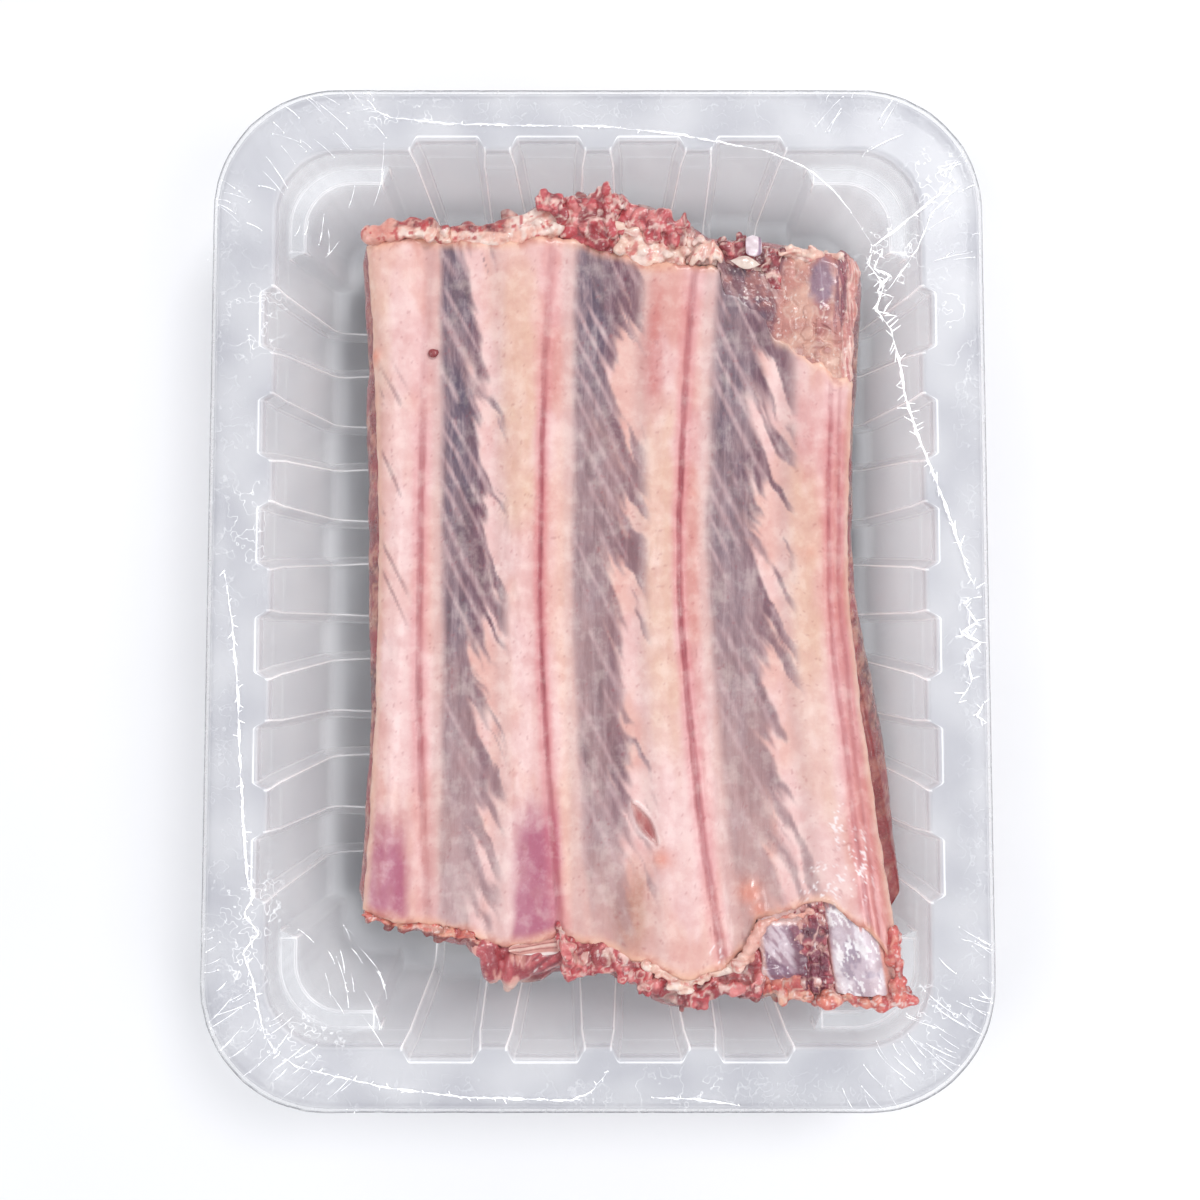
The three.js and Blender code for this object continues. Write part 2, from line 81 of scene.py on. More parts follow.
# The tray: the line where the wall meets the rim, the wall's lean, the pockets and the corner ledges
WALL_X, WALL_Y, WALL_RADIUS = 99.8, 136.4, 20.0
EDGE_RADIUS = 38.0
WALL_LEAN = 0.153
LONG_POCKETS = (6, 33.4, 21.0)
SHORT_POCKETS = (4, 31.3, 23.5)
POCKET_DEPTH, POCKET_CHAMFER = 3.1, 2.5
LEDGE_INSET, LEDGE_DROP = 5.0, 10.0
LEDGE_ARM_X, LEDGE_ARM_Y, LEDGE_SLANT = 66.8, 105.4, 2.4
FOOT, FILLET, FLOOR = 9.0, 7.5, 1.5  # heights where the wall's lower round begins, its radius, and the floor

# The rack: s runs across it from 0 to 1, and y along it
SAG_LENGTH = 120.0
RACK_MIDDLE, RACK_RISE = 39.0, 10.0
SKIN_THICK, GAP, UNDER_RIM = 0.9, 0.35, 0.2
BONE_DEPTH, MUSCLE_DEPTH, SLAB_DEPTH = 12.2, 12.5, 12.9
RACK_WIDTH, SLAB_FOOT, SLAB_BULGE, SLAB_RINGS = 155, 1.7, 9.2, 26
SKIN_CELLS, SKIN_COARSE, SLAB_CELLS = (270, 325), 5, (150, 190)  # the meshes' cells across and along
RIDGE_HEIGHT, RIDGE_BELOW, RIDGE_FADE = 3.4, 1.4, 0.35
BONES = ((0.0, 0.134), (0.262, 0.41), (0.555, 0.69), (0.857, 1.0))
SKIN_TOP = (
    (0, 108.5), (0.1, 110), (0.3, 108.8), (0.39, 110.5), (0.51, 106), (0.57, 102), (0.71, 102),
    (0.725, 94.4), (0.79, 89.8), (0.835, 79.5), (0.92, 71.4), (0.963, 66.5), (1, 67.4),
)
SKIN_BOTTOM = (
    (0, -98.2), (0.05, -100.2), (0.11, -101.8), (0.18, -104.0), (0.27, -108.5), (0.3, -107.6),
    (0.365, -105.0),
    (0.4, -107.0), (0.45, -108.4), (0.52, -113), (0.6, -117.3), (0.665, -115), (0.715, -109.6),
    (0.745, -100.5),
    (0.876, -95.5), (0.934, -102.6), (1, -115),
)
MEAT_TOP = (
    (0, 112.5), (0.05, 116), (0.11, 115), (0.24, 116), (0.3, 119), (0.38, 124), (0.47, 125),
    (0.55, 123), (0.62, 118), (0.7, 112), (0.83, 110.5), (0.94, 108), (1, 104.5),
)
MEAT_BOTTOM = (
    (0, -103), (0.07, -107.5), (0.2, -112), (0.23, -120), (0.28, -124.5), (0.37, -121.5), (0.46, -118),
    (0.52, -121.5), (0.59, -128.5), (0.66, -124), (0.74, -126), (0.87, -129), (0.96, -127.5), (1, -124),
)

# Colours as the eye names them, in the usual 0 to 255
CREAM = (240, 199, 186)
YELLOW_CREAM = (238, 203, 176)
BLUSH = (250, 222, 218)
ROSE = (206, 98, 94)
LILAC_PINK = (186, 106, 132)
VEIN = (156, 34, 56)
VEIN_HALO = (220, 124, 134)
MUSCLE_SLATE = (78, 66, 94)
MUSCLE_PLUM = (106, 46, 72)
HAZE = (216, 188, 182)
FIBRE = (224, 198, 198)
TAN = (172, 118, 92)
DEEP_RED = (92, 10, 18)
LEAN_RED = (170, 36, 44)
LEAN_PINK = (224, 124, 116)
FAT_WHITE = (252, 226, 208)
FAT_CREAM = (246, 192, 160)
MARROW = (150, 40, 42)
IVORY = (240, 220, 198)


def linear(colour):
    """A 0 to 255 colour as the linear numbers that shading works in."""
    c = np.asarray(colour, dtype=float) / 255.0
    return np.where(c <= 0.04045, c / 12.92, ((c + 0.055) / 1.055) ** 2.4)


def smooth(low, high, value):
    """0 below low, 1 above high, eased between."""
    t = np.clip((value - low) / (high - low), 0.0, 1.0)
    return t * t * (3.0 - 2.0 * t)


def mix(a, b, share):
    return a + (b - a) * share


def along(pairs, place):
    """A value read along a short list of places and values, eased between them."""
    place = np.asarray(place, dtype=float)
    out = np.full(place.shape, float(pairs[0][1]))
    for (p0, v0), (p1, v1) in zip(pairs, pairs[1:]):
        inside = place >= p0
        out = np.where(inside, mix(v0, v1, smooth(p0, p1, place)), out)
    return out


def steps(pairs, place):
    """As along, but straight between the places."""
    places, values = zip(*pairs)
    return np.interp(place, places, values)


def lattice(ix, iy, seed):
    """A fixed value from 0 to 1 at each whole-number place."""
    n = (ix.astype(np.int64) * 374761393 + iy.astype(np.int64) * 668265263 + seed * 144269504) & 0xFFFFFFFF
    n = ((n ^ (n >> 13)) * 1274126177) & 0xFFFFFFFF
    return ((n ^ (n >> 16)) & 0xFFFF) / 65535.0


def grain(x, y, seed=0):
    """Smooth value noise from 0 to 1."""
    ix, iy = np.floor(x), np.floor(y)
    fx, fy = x - ix, y - iy
    fx, fy = fx * fx * (3 - 2 * fx), fy * fy * (3 - 2 * fy)
    low = mix(lattice(ix, iy, seed), lattice(ix + 1, iy, seed), fx)
    high = mix(lattice(ix, iy + 1, seed), lattice(ix + 1, iy + 1, seed), fx)
    return mix(low, high, fy)


def cloud(x, y, seed=0, octaves=4):
    """Layered noise from 0 to 1, with finer layers weaker."""
    total, weight, size = 0.0, 0.0, 1.0
    for octave in range(octaves):
        total = total + size * grain(x * 2**octave, y * 2**octave, seed + 17 * octave)
        weight += size
        size *= 0.5
    return total / weight


def cloud3(p, size, seed=0, octaves=3):
    """Layered noise over points in space, from three flat ones."""
    x, y, z = (p[:, i] / size for i in range(3))
    pairs = ((x, y, seed), (y + 7.3, z, seed + 3), (z + 3.1, x, seed + 5))
    return sum(cloud(*pair, octaves) for pair in pairs) / 3


# The rack's form
def sag(y):
    return (y / SAG_LENGTH) ** 2


def left_edge(y):
    return -70.2 - 3.6 * sag(y)


def right_edge(y):
    return 80 + np.where(y > 0, 4.5 * sag(y), 13.5 * np.abs(y / SAG_LENGTH) ** 1.2)


def rack_x(s, y):
    return mix(left_edge(y), right_edge(y), s)


def across(points):
    """How far across the rack points are, from 0 to 1."""
    x, y = points[:, 0], points[:, 1]
    return (x - left_edge(y)) / (right_edge(y) - left_edge(y))


def rack_level(y):
    return RACK_MIDDLE + RACK_RISE * sag(y)


def ridge(s, y):
    """How far the bones lift the skin, above or below the rack's level."""
    height = np.zeros(np.broadcast(s, y).shape)
    for low, high in BONES:
        away = np.clip((s - (low + high) / 2) / ((high - low) * 0.62), -1, 1)
        height = np.maximum(height, np.cos(away * math.pi / 2) ** 2)
    return RIDGE_HEIGHT * height * (1 - RIDGE_FADE * sag(y)) - RIDGE_BELOW


def skin_level(s, y):
    return rack_level(y) + ridge(s, y)


# Meshes
LOOKS = {}  # the flesh looks, once the rack's operator has made them
SLOT_LOOKS = {
    "bone": "bone", "muscle": "muscle", "grey_muscle": "muscle", "meat": "lean", "red_meat": "lean",
    "fat": "fat", "tan_fat": "fat",
}


def grid_quads(nu, nv, start=0, flip=False):
    """Faces of a grid of nu by nv cells whose points run along u first."""
    i, j = np.meshgrid(np.arange(nu), np.arange(nv))
    a = (j * (nu + 1) + i).ravel() + start
    quads = np.stack([a, a + 1, a + nu + 2, a + nu + 1], axis=1)
    return quads[:, ::-1] if flip else quads


def border(nu, nv):
    """The places of a grid's edge points, counter-clockwise seen from above."""
    row = nu + 1
    return np.concatenate([
        np.arange(nu), np.arange(nv) * row + nu, nv * row + np.arange(nu, 0, -1), np.arange(nv, 0, -1) * row,
    ])


def pillow(surface, nu, nv, rings=1, bulge=0.0, coarse=1):
    """A closed solid between a surface's upper and lower face, with sides that bulge out.

    The lower face may have fewer cells, by the number coarse."""
    def sheet(cells_u, cells_v, upper):
        v, u = np.meshgrid(np.linspace(0, 1, cells_v + 1), np.linspace(0, 1, cells_u + 1), indexing="ij")
        return np.stack(surface(u.ravel(), v.ravel(), upper), axis=1)

    mu, mv = nu // coarse, nv // coarse
    upper, lower = sheet(nu, nv, True), sheet(mu, mv, False)
    edge, under = border(nu, nv), border(mu, mv)
    tangent = np.roll(upper[edge], -1, axis=0) - np.roll(upper[edge], 1, axis=0)
    out = np.stack([tangent[:, 1], -tangent[:, 0], np.zeros(len(edge))], axis=1)
    out /= np.maximum(np.linalg.norm(out, axis=1, keepdims=True), 1e-9)
    share = np.arange(len(edge)) / coarse
    near, far = (rim[np.floor(share).astype(int)] for rim in (lower[under],
                                                              np.roll(lower[under], -1, axis=0)))
    foot = mix(near, far, (share % 1)[:, None])
    points, rows, total = [upper], [edge], len(upper)
    for ring_number in range(1, rings + (coarse > 1)):
        down = ring_number / rings
        points.append(mix(upper[edge], foot, min(down, 0.98)) + out * bulge * math.sin(down * math.pi))
        rows.append(np.arange(len(edge)) + total)
        total += len(edge)
    points.append(lower)
    faces = grid_quads(nu, nv).tolist() + grid_quads(mu, mv, total, flip=True).tolist()
    if coarse == 1:
        rows.append(under + total)
    for high, low in zip(rows, rows[1:]):
        faces += np.stack([high, low, np.roll(low, -1), np.roll(high, -1)], axis=1).tolist()
    if coarse > 1:
        last = rows[-1]
        for k in range(len(under)):
            fine = [int(last[(k * coarse + n) % len(last)]) for n in range(coarse, -1, -1)]
            faces.append([int(under[k] + total), int(under[(k + 1) % len(under)] + total)] + fine)
    return np.concatenate(points), faces


def point_normals(points, faces):
    """The outward direction at each point, from the faces round it."""
    total = np.zeros_like(points)
    for size in {len(face) for face in faces}:
        same = np.array([face for face in faces if len(face) == size])
        a, b, c, d = same[:, 0], same[:, size // 4], same[:, size // 2], same[:, -1]
        normal = np.cross(points[c] - points[a], points[d] - points[b])
        for i in range(size):
            np.add.at(total, same[:, i], normal)
    return total / np.maximum(np.linalg.norm(total, axis=1, keepdims=True), 1e-12)


def swell(points, faces, amount):
    """Moves each point out along its own normal."""
    return points + point_normals(points, faces) * amount[:, None]


def add(name, data):
    """Puts a new object into the scene."""
    made = bpy.data.objects.new(name, data)
    bpy.context.scene.collection.objects.link(made)
    return made


def make_piece(name, points, faces, slot, tint=None, node=None, look=None, marks=None):
    """Makes an object from points in millimetres. Its slot picks its look when none is given, and the node
    that it stands for is hidden.
    """
    mesh = bpy.data.meshes.new(name)
    mesh.from_pydata((points * MM).tolist(), [], list(faces))
    mesh.polygons.foreach_set("use_smooth", [True] * len(mesh.polygons))
    for attribute, values in (("tint", tint), ("marks", marks)):
        if values is not None:
            colours = np.ones((len(points), 4))
            colours[:, :3] = values
            layer = mesh.color_attributes.new(attribute, "FLOAT_COLOR", "POINT")
            layer.data.foreach_set("color", colours.ravel())
    mesh.materials.append(look or LOOKS[SLOT_LOOKS[slot]])
    mesh.update()
    piece = add(name, mesh)
    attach(piece, BODY)
    if node:
        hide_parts(node)


def ball():
    """The points and faces of a ball of radius 1, as even triangles."""
    mesh = bpy.data.meshes.new("ball")
    shape = bmesh.new()
    bmesh.ops.create_icosphere(shape, subdivisions=2, radius=1.0)
    shape.to_mesh(mesh)
    shape.free()
    points = np.array([v.co[:] for v in mesh.vertices])
    faces = [list(p.vertices) for p in mesh.polygons]
    bpy.data.meshes.remove(mesh)
    return points, faces


BALL_POINTS, BALL_FACES = ball()


def lobe(centre, sizes, turn=0.0, tip=0.0):
    """A soft lump: a ball stretched to three half sizes, turned about Z and tipped about X."""
    p = BALL_POINTS * np.asarray(sizes)
    c, s = math.cos(tip), math.sin(tip)
    p = np.stack([p[:, 0], p[:, 1] * c - p[:, 2] * s, p[:, 1] * s + p[:, 2] * c], axis=1)
    c, s = math.cos(turn), math.sin(turn)
    p = np.stack([p[:, 0] * c - p[:, 1] * s, p[:, 0] * s + p[:, 1] * c, p[:, 2]], axis=1)
    return p + np.asarray(centre), BALL_FACES


def fused(shells, voxel, ease=4):
    """Joins overlapping closed shells into one soft body, and gives its points and faces."""
    points, triangles, start = [], [], 0
    for shell_points, shell_faces in shells:
        points.append(shell_points)
        triangles += [[corner + start for corner in face] for face in shell_faces]
        start += len(shell_points)
    mesh = bpy.data.meshes.new("fusing")
    mesh.from_pydata(np.concatenate(points).tolist(), [], triangles)
    body = add("fusing", mesh)
    remesh = body.modifiers.new("join", "REMESH")
    remesh.mode = "VOXEL"
    remesh.voxel_size = voxel
    soften = body.modifiers.new("soften", "SMOOTH")
    soften.factor = 0.5
    soften.iterations = ease
    done = bpy.data.meshes.new_from_object(body.evaluated_get(bpy.context.evaluated_depsgraph_get()))
    count = len(done.vertices)
    flat = np.empty(count * 3)
    done.vertices.foreach_get("co", flat)
    faces = [list(p.vertices) for p in done.polygons]
    bpy.data.objects.remove(body)
    bpy.data.meshes.remove(mesh)
    bpy.data.meshes.remove(done)
    return flat.reshape(-1, 3), faces


# Materials
class Look:
    """A material under way: its nodes, and short ways to add to them."""

    def __init__(self, name):
        self.material = bpy.data.materials.new(name)
        self.material.use_nodes = True
        self.material.cycles.emission_sampling = "NONE"
        self.nodes = self.material.node_tree.nodes
        self.links = self.material.node_tree.links
        self.shader = self.nodes["Principled BSDF"]
        self.place = self.nodes.new("ShaderNodeTexCoord").outputs["Object"]

    def link(self, source, target):
        self.links.new(source, target)

    def set(self, **values):
        for name, value in values.items():
            self.shader.inputs[name.replace("_", " ")].default_value = value

    def stretched(self, scale, turn=(0, 0, 0)):
        mapping = self.nodes.new("ShaderNodeMapping")
        mapping.inputs["Scale"].default_value = scale
        mapping.inputs["Rotation"].default_value = turn
        self.link(self.place, mapping.inputs["Vector"])
        return mapping.outputs["Vector"]

    def noise(self, scale, detail=4.0, rough=0.55, vector=None, twist=0.0):
        node = self.nodes.new("ShaderNodeTexNoise")
        node.inputs["Scale"].default_value = scale
        node.inputs["Detail"].default_value = detail
        node.inputs["Roughness"].default_value = rough
        node.inputs["Distortion"].default_value = twist
        self.link(vector or self.place, node.inputs["Vector"])
        return node.outputs["Fac"]

    def span(self, value, low, high, to_low, to_high):
        node = self.nodes.new("ShaderNodeMapRange")
        for name, number in (("From Min", low), ("From Max", high), ("To Min", to_low), ("To Max", to_high)):
            node.inputs[name].default_value = number
        self.link(value, node.inputs["Value"])
        return node.outputs["Result"]

    def attribute(self, name, output="Color"):
        node = self.nodes.new("ShaderNodeAttribute")
        node.attribute_name = name
        return node.outputs[output]

    def blend(self, factor, a, b, how="MIX"):
        node = self.nodes.new("ShaderNodeMix")
        node.data_type = "RGBA"
        node.blend_type = how
        for socket, value in ((node.inputs[0], factor), (node.inputs[6], a), (node.inputs[7], b)):
            if isinstance(value, bpy.types.NodeSocket):
                self.link(value, socket)
            elif isinstance(value, (int, float)):
                socket.default_value = value
            else:
                socket.default_value = (*linear(value), 1.0)
        return node.outputs[2]

    def maths_open(self, operation, a, b):
        """As maths, but the result may be below 0 or above 1."""
        result = self.maths(operation, a, b)
        result.node.use_clamp = False
        return result

    def maths(self, operation, a, b):
        node = self.nodes.new("ShaderNodeMath")
        node.operation = operation
        node.use_clamp = True
        for socket, value in zip(node.inputs, (a, b)):
            if isinstance(value, bpy.types.NodeSocket):
                self.link(value, socket)
            else:
                socket.default_value = value
        return node.outputs[0]

    def bump(self, heights):
        """Stacks bumps: each is a value, its strength and its depth in metres."""
        normal = None
        for value, strength, depth in heights:
            node = self.nodes.new("ShaderNodeBump")
            node.inputs["Strength"].default_value = strength
            node.inputs["Distance"].default_value = depth
            self.link(value, node.inputs["Height"])
            if normal is not None:
                self.link(normal, node.inputs["Normal"])
            normal = node.outputs["Normal"]
        self.link(normal, self.shader.inputs["Normal"])


FLESH = {  # name, flecks, how fine its mottling is, shine, roughness from and to, relief in metres, wetness
    "bone": ("moist bone", (250, 236, 226), 260.0, 0.6, (0.12, 0.4), 0.00012, 0.5),
    "muscle": ("moist muscle", (210, 186, 192), 300.0, 0.6, (0.15, 0.42), 0.00018, 0.5),
    "lean": ("raw lean meat", (236, 176, 160), 420.0, 0.6, (0.16, 0.45), 0.00026, 0.6),
    "fat": ("moist fat", (255, 236, 220), 380.0, 0.6, (0.18, 0.48), 0.0002, 0.5),
}


def flesh_look(name, fleck, fine, shine, rough, bump, wet):
    """Moist flesh: the painted tint, with fine mottling, small flecks and an uneven wet gloss."""
    look = Look(name)
    tint = look.attribute("tint")
    mottle = look.noise(fine, 5.0, 0.62)
    pores = look.noise(fine * 4.0, 3.0, 0.6)
    shaded = look.blend(look.span(mottle, 0.35, 0.7, 0.0, 0.34), tint, (150, 70, 78), "MULTIPLY")
    specks = look.span(pores, 0.62, 0.74, 0.0, 0.5)
    look.link(look.blend(specks, shaded, fleck), look.shader.inputs["Base Color"])
    look.link(look.span(look.noise(fine * 0.6, 3.0), 0.3, 0.7, *rough), look.shader.inputs["Roughness"])
    look.bump([(mottle, 0.55, bump * 2.0), (pores, 0.4, bump)])
    look.set(Specular_IOR_Level=shine, Coat_Weight=wet, Coat_Roughness=0.14)
    return look.material


def skin_look():
    """The thin membrane over the ribs: painted bands, faint fibres and a moist sheen."""
    look = Look("rib membrane")
    tint = look.attribute("tint")
    marks = look.nodes.new("ShaderNodeSeparateColor")
    look.link(look.attribute("marks"), marks.inputs["Color"])
    muscle, wet, vein = marks.outputs["Red"], marks.outputs["Green"], marks.outputs["Blue"]
    fibre = look.noise(520.0, 3.0, 0.6, look.stretched((1.0, 0.12, 1.0), (0, 0, SLANT)), 0.4)
    mottle = look.noise(170.0, 4.0, 0.6)
    pores = look.noise(1300.0, 2.0, 0.6)
    light = look.maths("MULTIPLY", look.span(fibre, 0.5, 0.75, 0.0, 0.4), muscle)
    dark = look.maths("MULTIPLY", look.span(fibre, 0.5, 0.3, 0.0, 0.5), look.maths("ADD", muscle, vein))
    fibred = look.blend(dark, look.blend(light, tint, FIBRE), (150, 104, 116), "MULTIPLY")
    shaded = look.blend(look.span(mottle, 0.42, 0.72, 0.0, 0.26), fibred, (204, 128, 126), "MULTIPLY")
    lit = look.blend(look.span(mottle, 0.5, 0.3, 0.0, 0.2), shaded, (255, 238, 226))
    freckled = look.blend(look.span(pores, 0.66, 0.78, 0.0, 0.25), lit, (176, 84, 86))
    look.link(freckled, look.shader.inputs["Base Color"])
    look.link(look.maths("SUBTRACT", look.span(mottle, 0.3, 0.7, 0.34, 0.5), look.span(wet, 0, 1, 0, 0.3)),
              look.shader.inputs["Roughness"])
    look.bump([(mottle, 0.45, 0.0003), (fibre, 0.35, 0.00016)])
    look.set(Specular_IOR_Level=0.45, Coat_Weight=0.25, Coat_Roughness=0.18)
    return look.material


def clear_look(name, colour, flat, edge, rough, gloss, crumple_glint=0.0, haze=0.0):
    """A clear sheet. It shows more where it is seen along its face, and at bends and crumples, where white
    highlight lines are painted into its colour and glow with emission.
    """
    look = Look(name)
    facing = look.nodes.new("ShaderNodeLayerWeight")
    facing.inputs["Blend"].default_value = 0.3
    shown = look.span(facing.outputs["Facing"], 0.1, 0.95, flat, edge)
    marks = look.nodes.new("ShaderNodeSeparateColor")
    look.link(look.attribute("marks"), marks.inputs["Color"])
    bend = marks.outputs["Red"]
    if crumple_glint:
        folds = look.noise(80.0, 3.0, 0.75)
        away = look.maths("ABSOLUTE", look.maths_open("SUBTRACT", folds, 0.5), 0.0)
        thin = look.span(away, 0.001, 0.011, 1.0, 0.0)
        crumple_glints = look.maths("MULTIPLY", thin, marks.outputs["Green"])
        bend = look.maths("ADD", bend, look.maths("MULTIPLY", crumple_glints, crumple_glint))
    if haze:
        shown = look.maths("ADD", shown, look.maths("MULTIPLY", marks.outputs["Green"], haze))
    shown = look.maths("ADD", shown, look.maths("MULTIPLY", marks.outputs["Blue"], 0.85))
    # Painted highlights: the red mark, and the crumple lines added to it, make the sheet white, less clear
    # and faintly glowing there.
    look.link(look.maths("ADD", shown, look.maths("MULTIPLY", bend, 0.62)), look.shader.inputs["Alpha"])
    look.link(look.blend(bend, (0, 0, 0), (255, 255, 255)), look.shader.inputs["Emission Color"])
    look.set(Emission_Strength=0.4)
    line = marks.outputs["Blue"]
    uneven = look.noise(60.0, 0.0)
    cloudy = look.blend(look.span(uneven, 0.3, 0.7, 0.0, 0.35), colour, (255, 255, 255))
    lined = look.blend(line, cloudy, (58, 60, 66))
    look.link(look.blend(bend, lined, (255, 255, 255)), look.shader.inputs["Base Color"])
    look.link(look.span(uneven, 0.3, 0.7, rough * 0.7, rough * 1.5), look.shader.inputs["Roughness"])
    look.set(Specular_IOR_Level=gloss)
    return look.material


def crease_look():
    """The white glint of film that is creased sharply: a painted highlight, white in colour and glowing with
    emission.
    """
    look = Look("film crease")
    broken = look.noise(900.0, 3.0)
    look.link(look.span(broken, 0.3, 0.5, 0.45, 1.0), look.shader.inputs["Alpha"])
    look.link(look.blend(look.span(broken, 0.3, 0.7, 0.0, 1.0), (232, 234, 240), (255, 255, 255)),
              look.shader.inputs["Base Color"])
    look.set(Roughness=0.25, Specular_IOR_Level=0.8, Coat_Weight=0.8, Emission_Strength=0.55)
    look.shader.inputs["Emission Color"].default_value = (1, 1, 1, 1)
    return look.material


def over(tint, *layers):
    """Lays colours over a tint. Each layer is a colour and its share at every point."""
    for colour, share in layers:
        tint = mix(tint, linear(colour), share[:, None])
    return tint


def paint(start, *layers):
    """As over, but on one colour, and with the shares held between 0 and 1."""
    return over(linear(start), *((colour, np.clip(share, 0, 1)) for colour, share in layers))


# The membrane over the ribs
SLANT = math.radians(27)


def fibre_axes(x, y):
    """Places across and along the muscle's slanted fibres."""
    return x * math.cos(SLANT) + y * math.sin(SLANT), x * math.sin(SLANT) - y * math.cos(SLANT)


def fibre_lines(x, y, pitch, seed):
    """Light threads between the muscle's fibres, 0 to 1."""
    cross, run = fibre_axes(x, y)
    phase = cross / pitch + 0.5 * cloud(x / 15, y / 30, seed) + 0.3 * cloud(cross / 1.6, run / 16, seed + 1)
    line = 1 - np.abs((phase % 1) * 2 - 1)
    width = 0.2 + 0.45 * cloud(cross / 3, run / 20, seed + 3)
    return smooth(width, 1.0, line) * smooth(0.34, 0.52, cloud(cross / pitch, run / 22, seed + 2))


MUSCLE_BANDS = (  # left and right edge, and how dark it is from the lower end up
    (0.139, 0.012, 0.262, -0.02, ((-105, 0.38), (-60, 0.56), (-20, 0.86), (20, 1.0), (105, 1.0))),
    (0.415, 0.012, 0.556, -0.02,
     ((-105, 0.2), (-85, 0.45), (-55, 0.74), (-20, 0.66), (15, 0.7), (45, 0.66), (65, 0.85), (80, 1.0),
      (105, 0.98))),
    (0.700, 0.012, 0.860, -0.01, ((-100, 0.3), (-70, 0.48), (-30, 0.7), (10, 0.84), (50, 0.92), (100, 1.0))),
)
VEIN_LINES = (  # start, bend towards the ends, half width, and strength from the lower end up
    (0.094, 0.045, 0.0085, ((-110, 0.35), (-60, 0.5), (-45, 0.8), (-20, 0.6), (10, 0.75), (40, 0.7),
                            (60, 0.3), (100, 0.1))),
    (0.3455, 0.04, 0.0085, ((-115, 0.5), (-90, 0.6), (-50, 0.85), (-17, 1.0), (30, 1.0), (52, 0.9),
                            (75, 0.45), (100, 0.3))),
    (0.638, 0.038, 0.0095, ((-115, 0.6), (-90, 0.75), (-50, 0.85), (-17, 1.0), (30, 1.0), (60, 0.8),
                            (100, 0.45))),
    (0.951, -0.01, 0.006, ((-110, 0.6), (-60, 0.45), (-20, 0.5), (20, 0.6), (50, 0.6), (68, 0.3))),
    (0.973, -0.012, 0.005, ((-110, 0.45), (-60, 0.3), (20, 0.5), (50, 0.4), (68, 0.2))),
)
STAINS = (  # colour, s from and to, y from and to, strength
    (LILAC_PINK, 0.012, 0.085, -116, -66, 1.35), (LILAC_PINK, 0.285, 0.372, -120, -60, 1.25),
    (LILAC_PINK, 0.685, 0.705, -112, -66, 0.35), (ROSE, 0.352, 0.40, 50, 112, 0.45),
    (ROSE, 0.075, 0.11, -70, 60, 0.22), (ROSE, 0.327, 0.372, -66, 40, 0.3),
    (ROSE, 0.645, 0.68, -84, 70, 0.42),
    (ROSE, 0.93, 1.0, -112, 66, 0.6), (ROSE, 0.30, 0.345, -40, 26, 0.3), (ROSE, 0.875, 0.93, 20, 72, 0.4),
    (ROSE, 0.557, 0.60, 52, 92, 0.85), (ROSE, 0.58, 0.66, 66, 104, 0.45),
    (YELLOW_CREAM, 0.262, 0.335, 16, 106, 0.9), (YELLOW_CREAM, 0.556, 0.625, -52, 62, 0.85),
    (YELLOW_CREAM, 0.862, 0.925, -78, 46, 0.85), (YELLOW_CREAM, 0.38, 0.412, -96, 60, 0.5),
    (YELLOW_CREAM, 0.0, 0.05, 52, 108, 0.6), (TAN, 0.468, 0.545, -112, -84, 0.75),
    (TAN, 0.0, 0.03, 40, 90, 0.25),
    (BLUSH, 0.022, 0.10, -66, 60, 0.6), (BLUSH, 0.285, 0.345, -40, 20, 0.5),
    (BLUSH, 0.58, 0.64, -108, -50, 0.55),
    (BLUSH, 0.87, 0.95, -80, -20, 0.4),
)


def stain_share(s, x, y, number):
    """How strongly a soft-edged stain shows at each point."""
    _, left, right, low, high, strength = STAINS[number]
    ragged = 0.03 * (cloud(x / 7, y / 11, 200 + number) - 0.5)
    reach = 22 * (cloud(x / 6, y / 30, 230 + number) - 0.5)
    s = s + ragged
    side = smooth(left - 0.014, left + 0.016, s) * (1 - smooth(right - 0.016, right + 0.014, s))
    end = smooth(low - 4, low + 16, y + reach) * (1 - smooth(high - 16, high + 4, y + reach))
    return strength * side * end * (0.65 + 0.7 * (cloud(x / 4.5, y / 8, 260 + number) - 0.25))


def muscle_share(s, x, y):
    """How dark the muscle shows through, and how far across its strip each point is."""
    cross, run = fibre_axes(x, y)
    warp = 1.6 * (cloud(x / 8, y / 13, 9) - 0.5)
    finger = cloud(cross / 3.3 + warp, run / 27, 11, 3)
    wander = 0.012 * (cloud(x / 12, y / 20, 3) - 0.5)
    share, place = np.zeros_like(s), np.zeros_like(s)
    for left, left_bend, right, right_bend, strength in MUSCLE_BANDS:
        width = right + right_bend * sag(y) - left - left_bend * sag(y)
        u = (s + wander - left - left_bend * sag(y)) / width
        reach = 0.74 + 0.95 * (finger - 0.5)
        inside = smooth(-0.08, 0.1, u) * (1 - smooth(reach - 0.2, reach + 0.12, u))
        tips = smooth(0.5, 0.64, finger) * smooth(0.4, 0.7, u) * (1 - smooth(0.92, 1.2, u))
        uneven = 0.74 + 0.5 * (cloud(x / 5, y / 13, 15) - 0.25)
        share = np.maximum(share, np.maximum(inside, 0.85 * tips) * steps(strength, y) * uneven)
        place = np.where((u > -0.1) & (u < 1.4), u, place)
    return np.clip(share, 0, 1), place


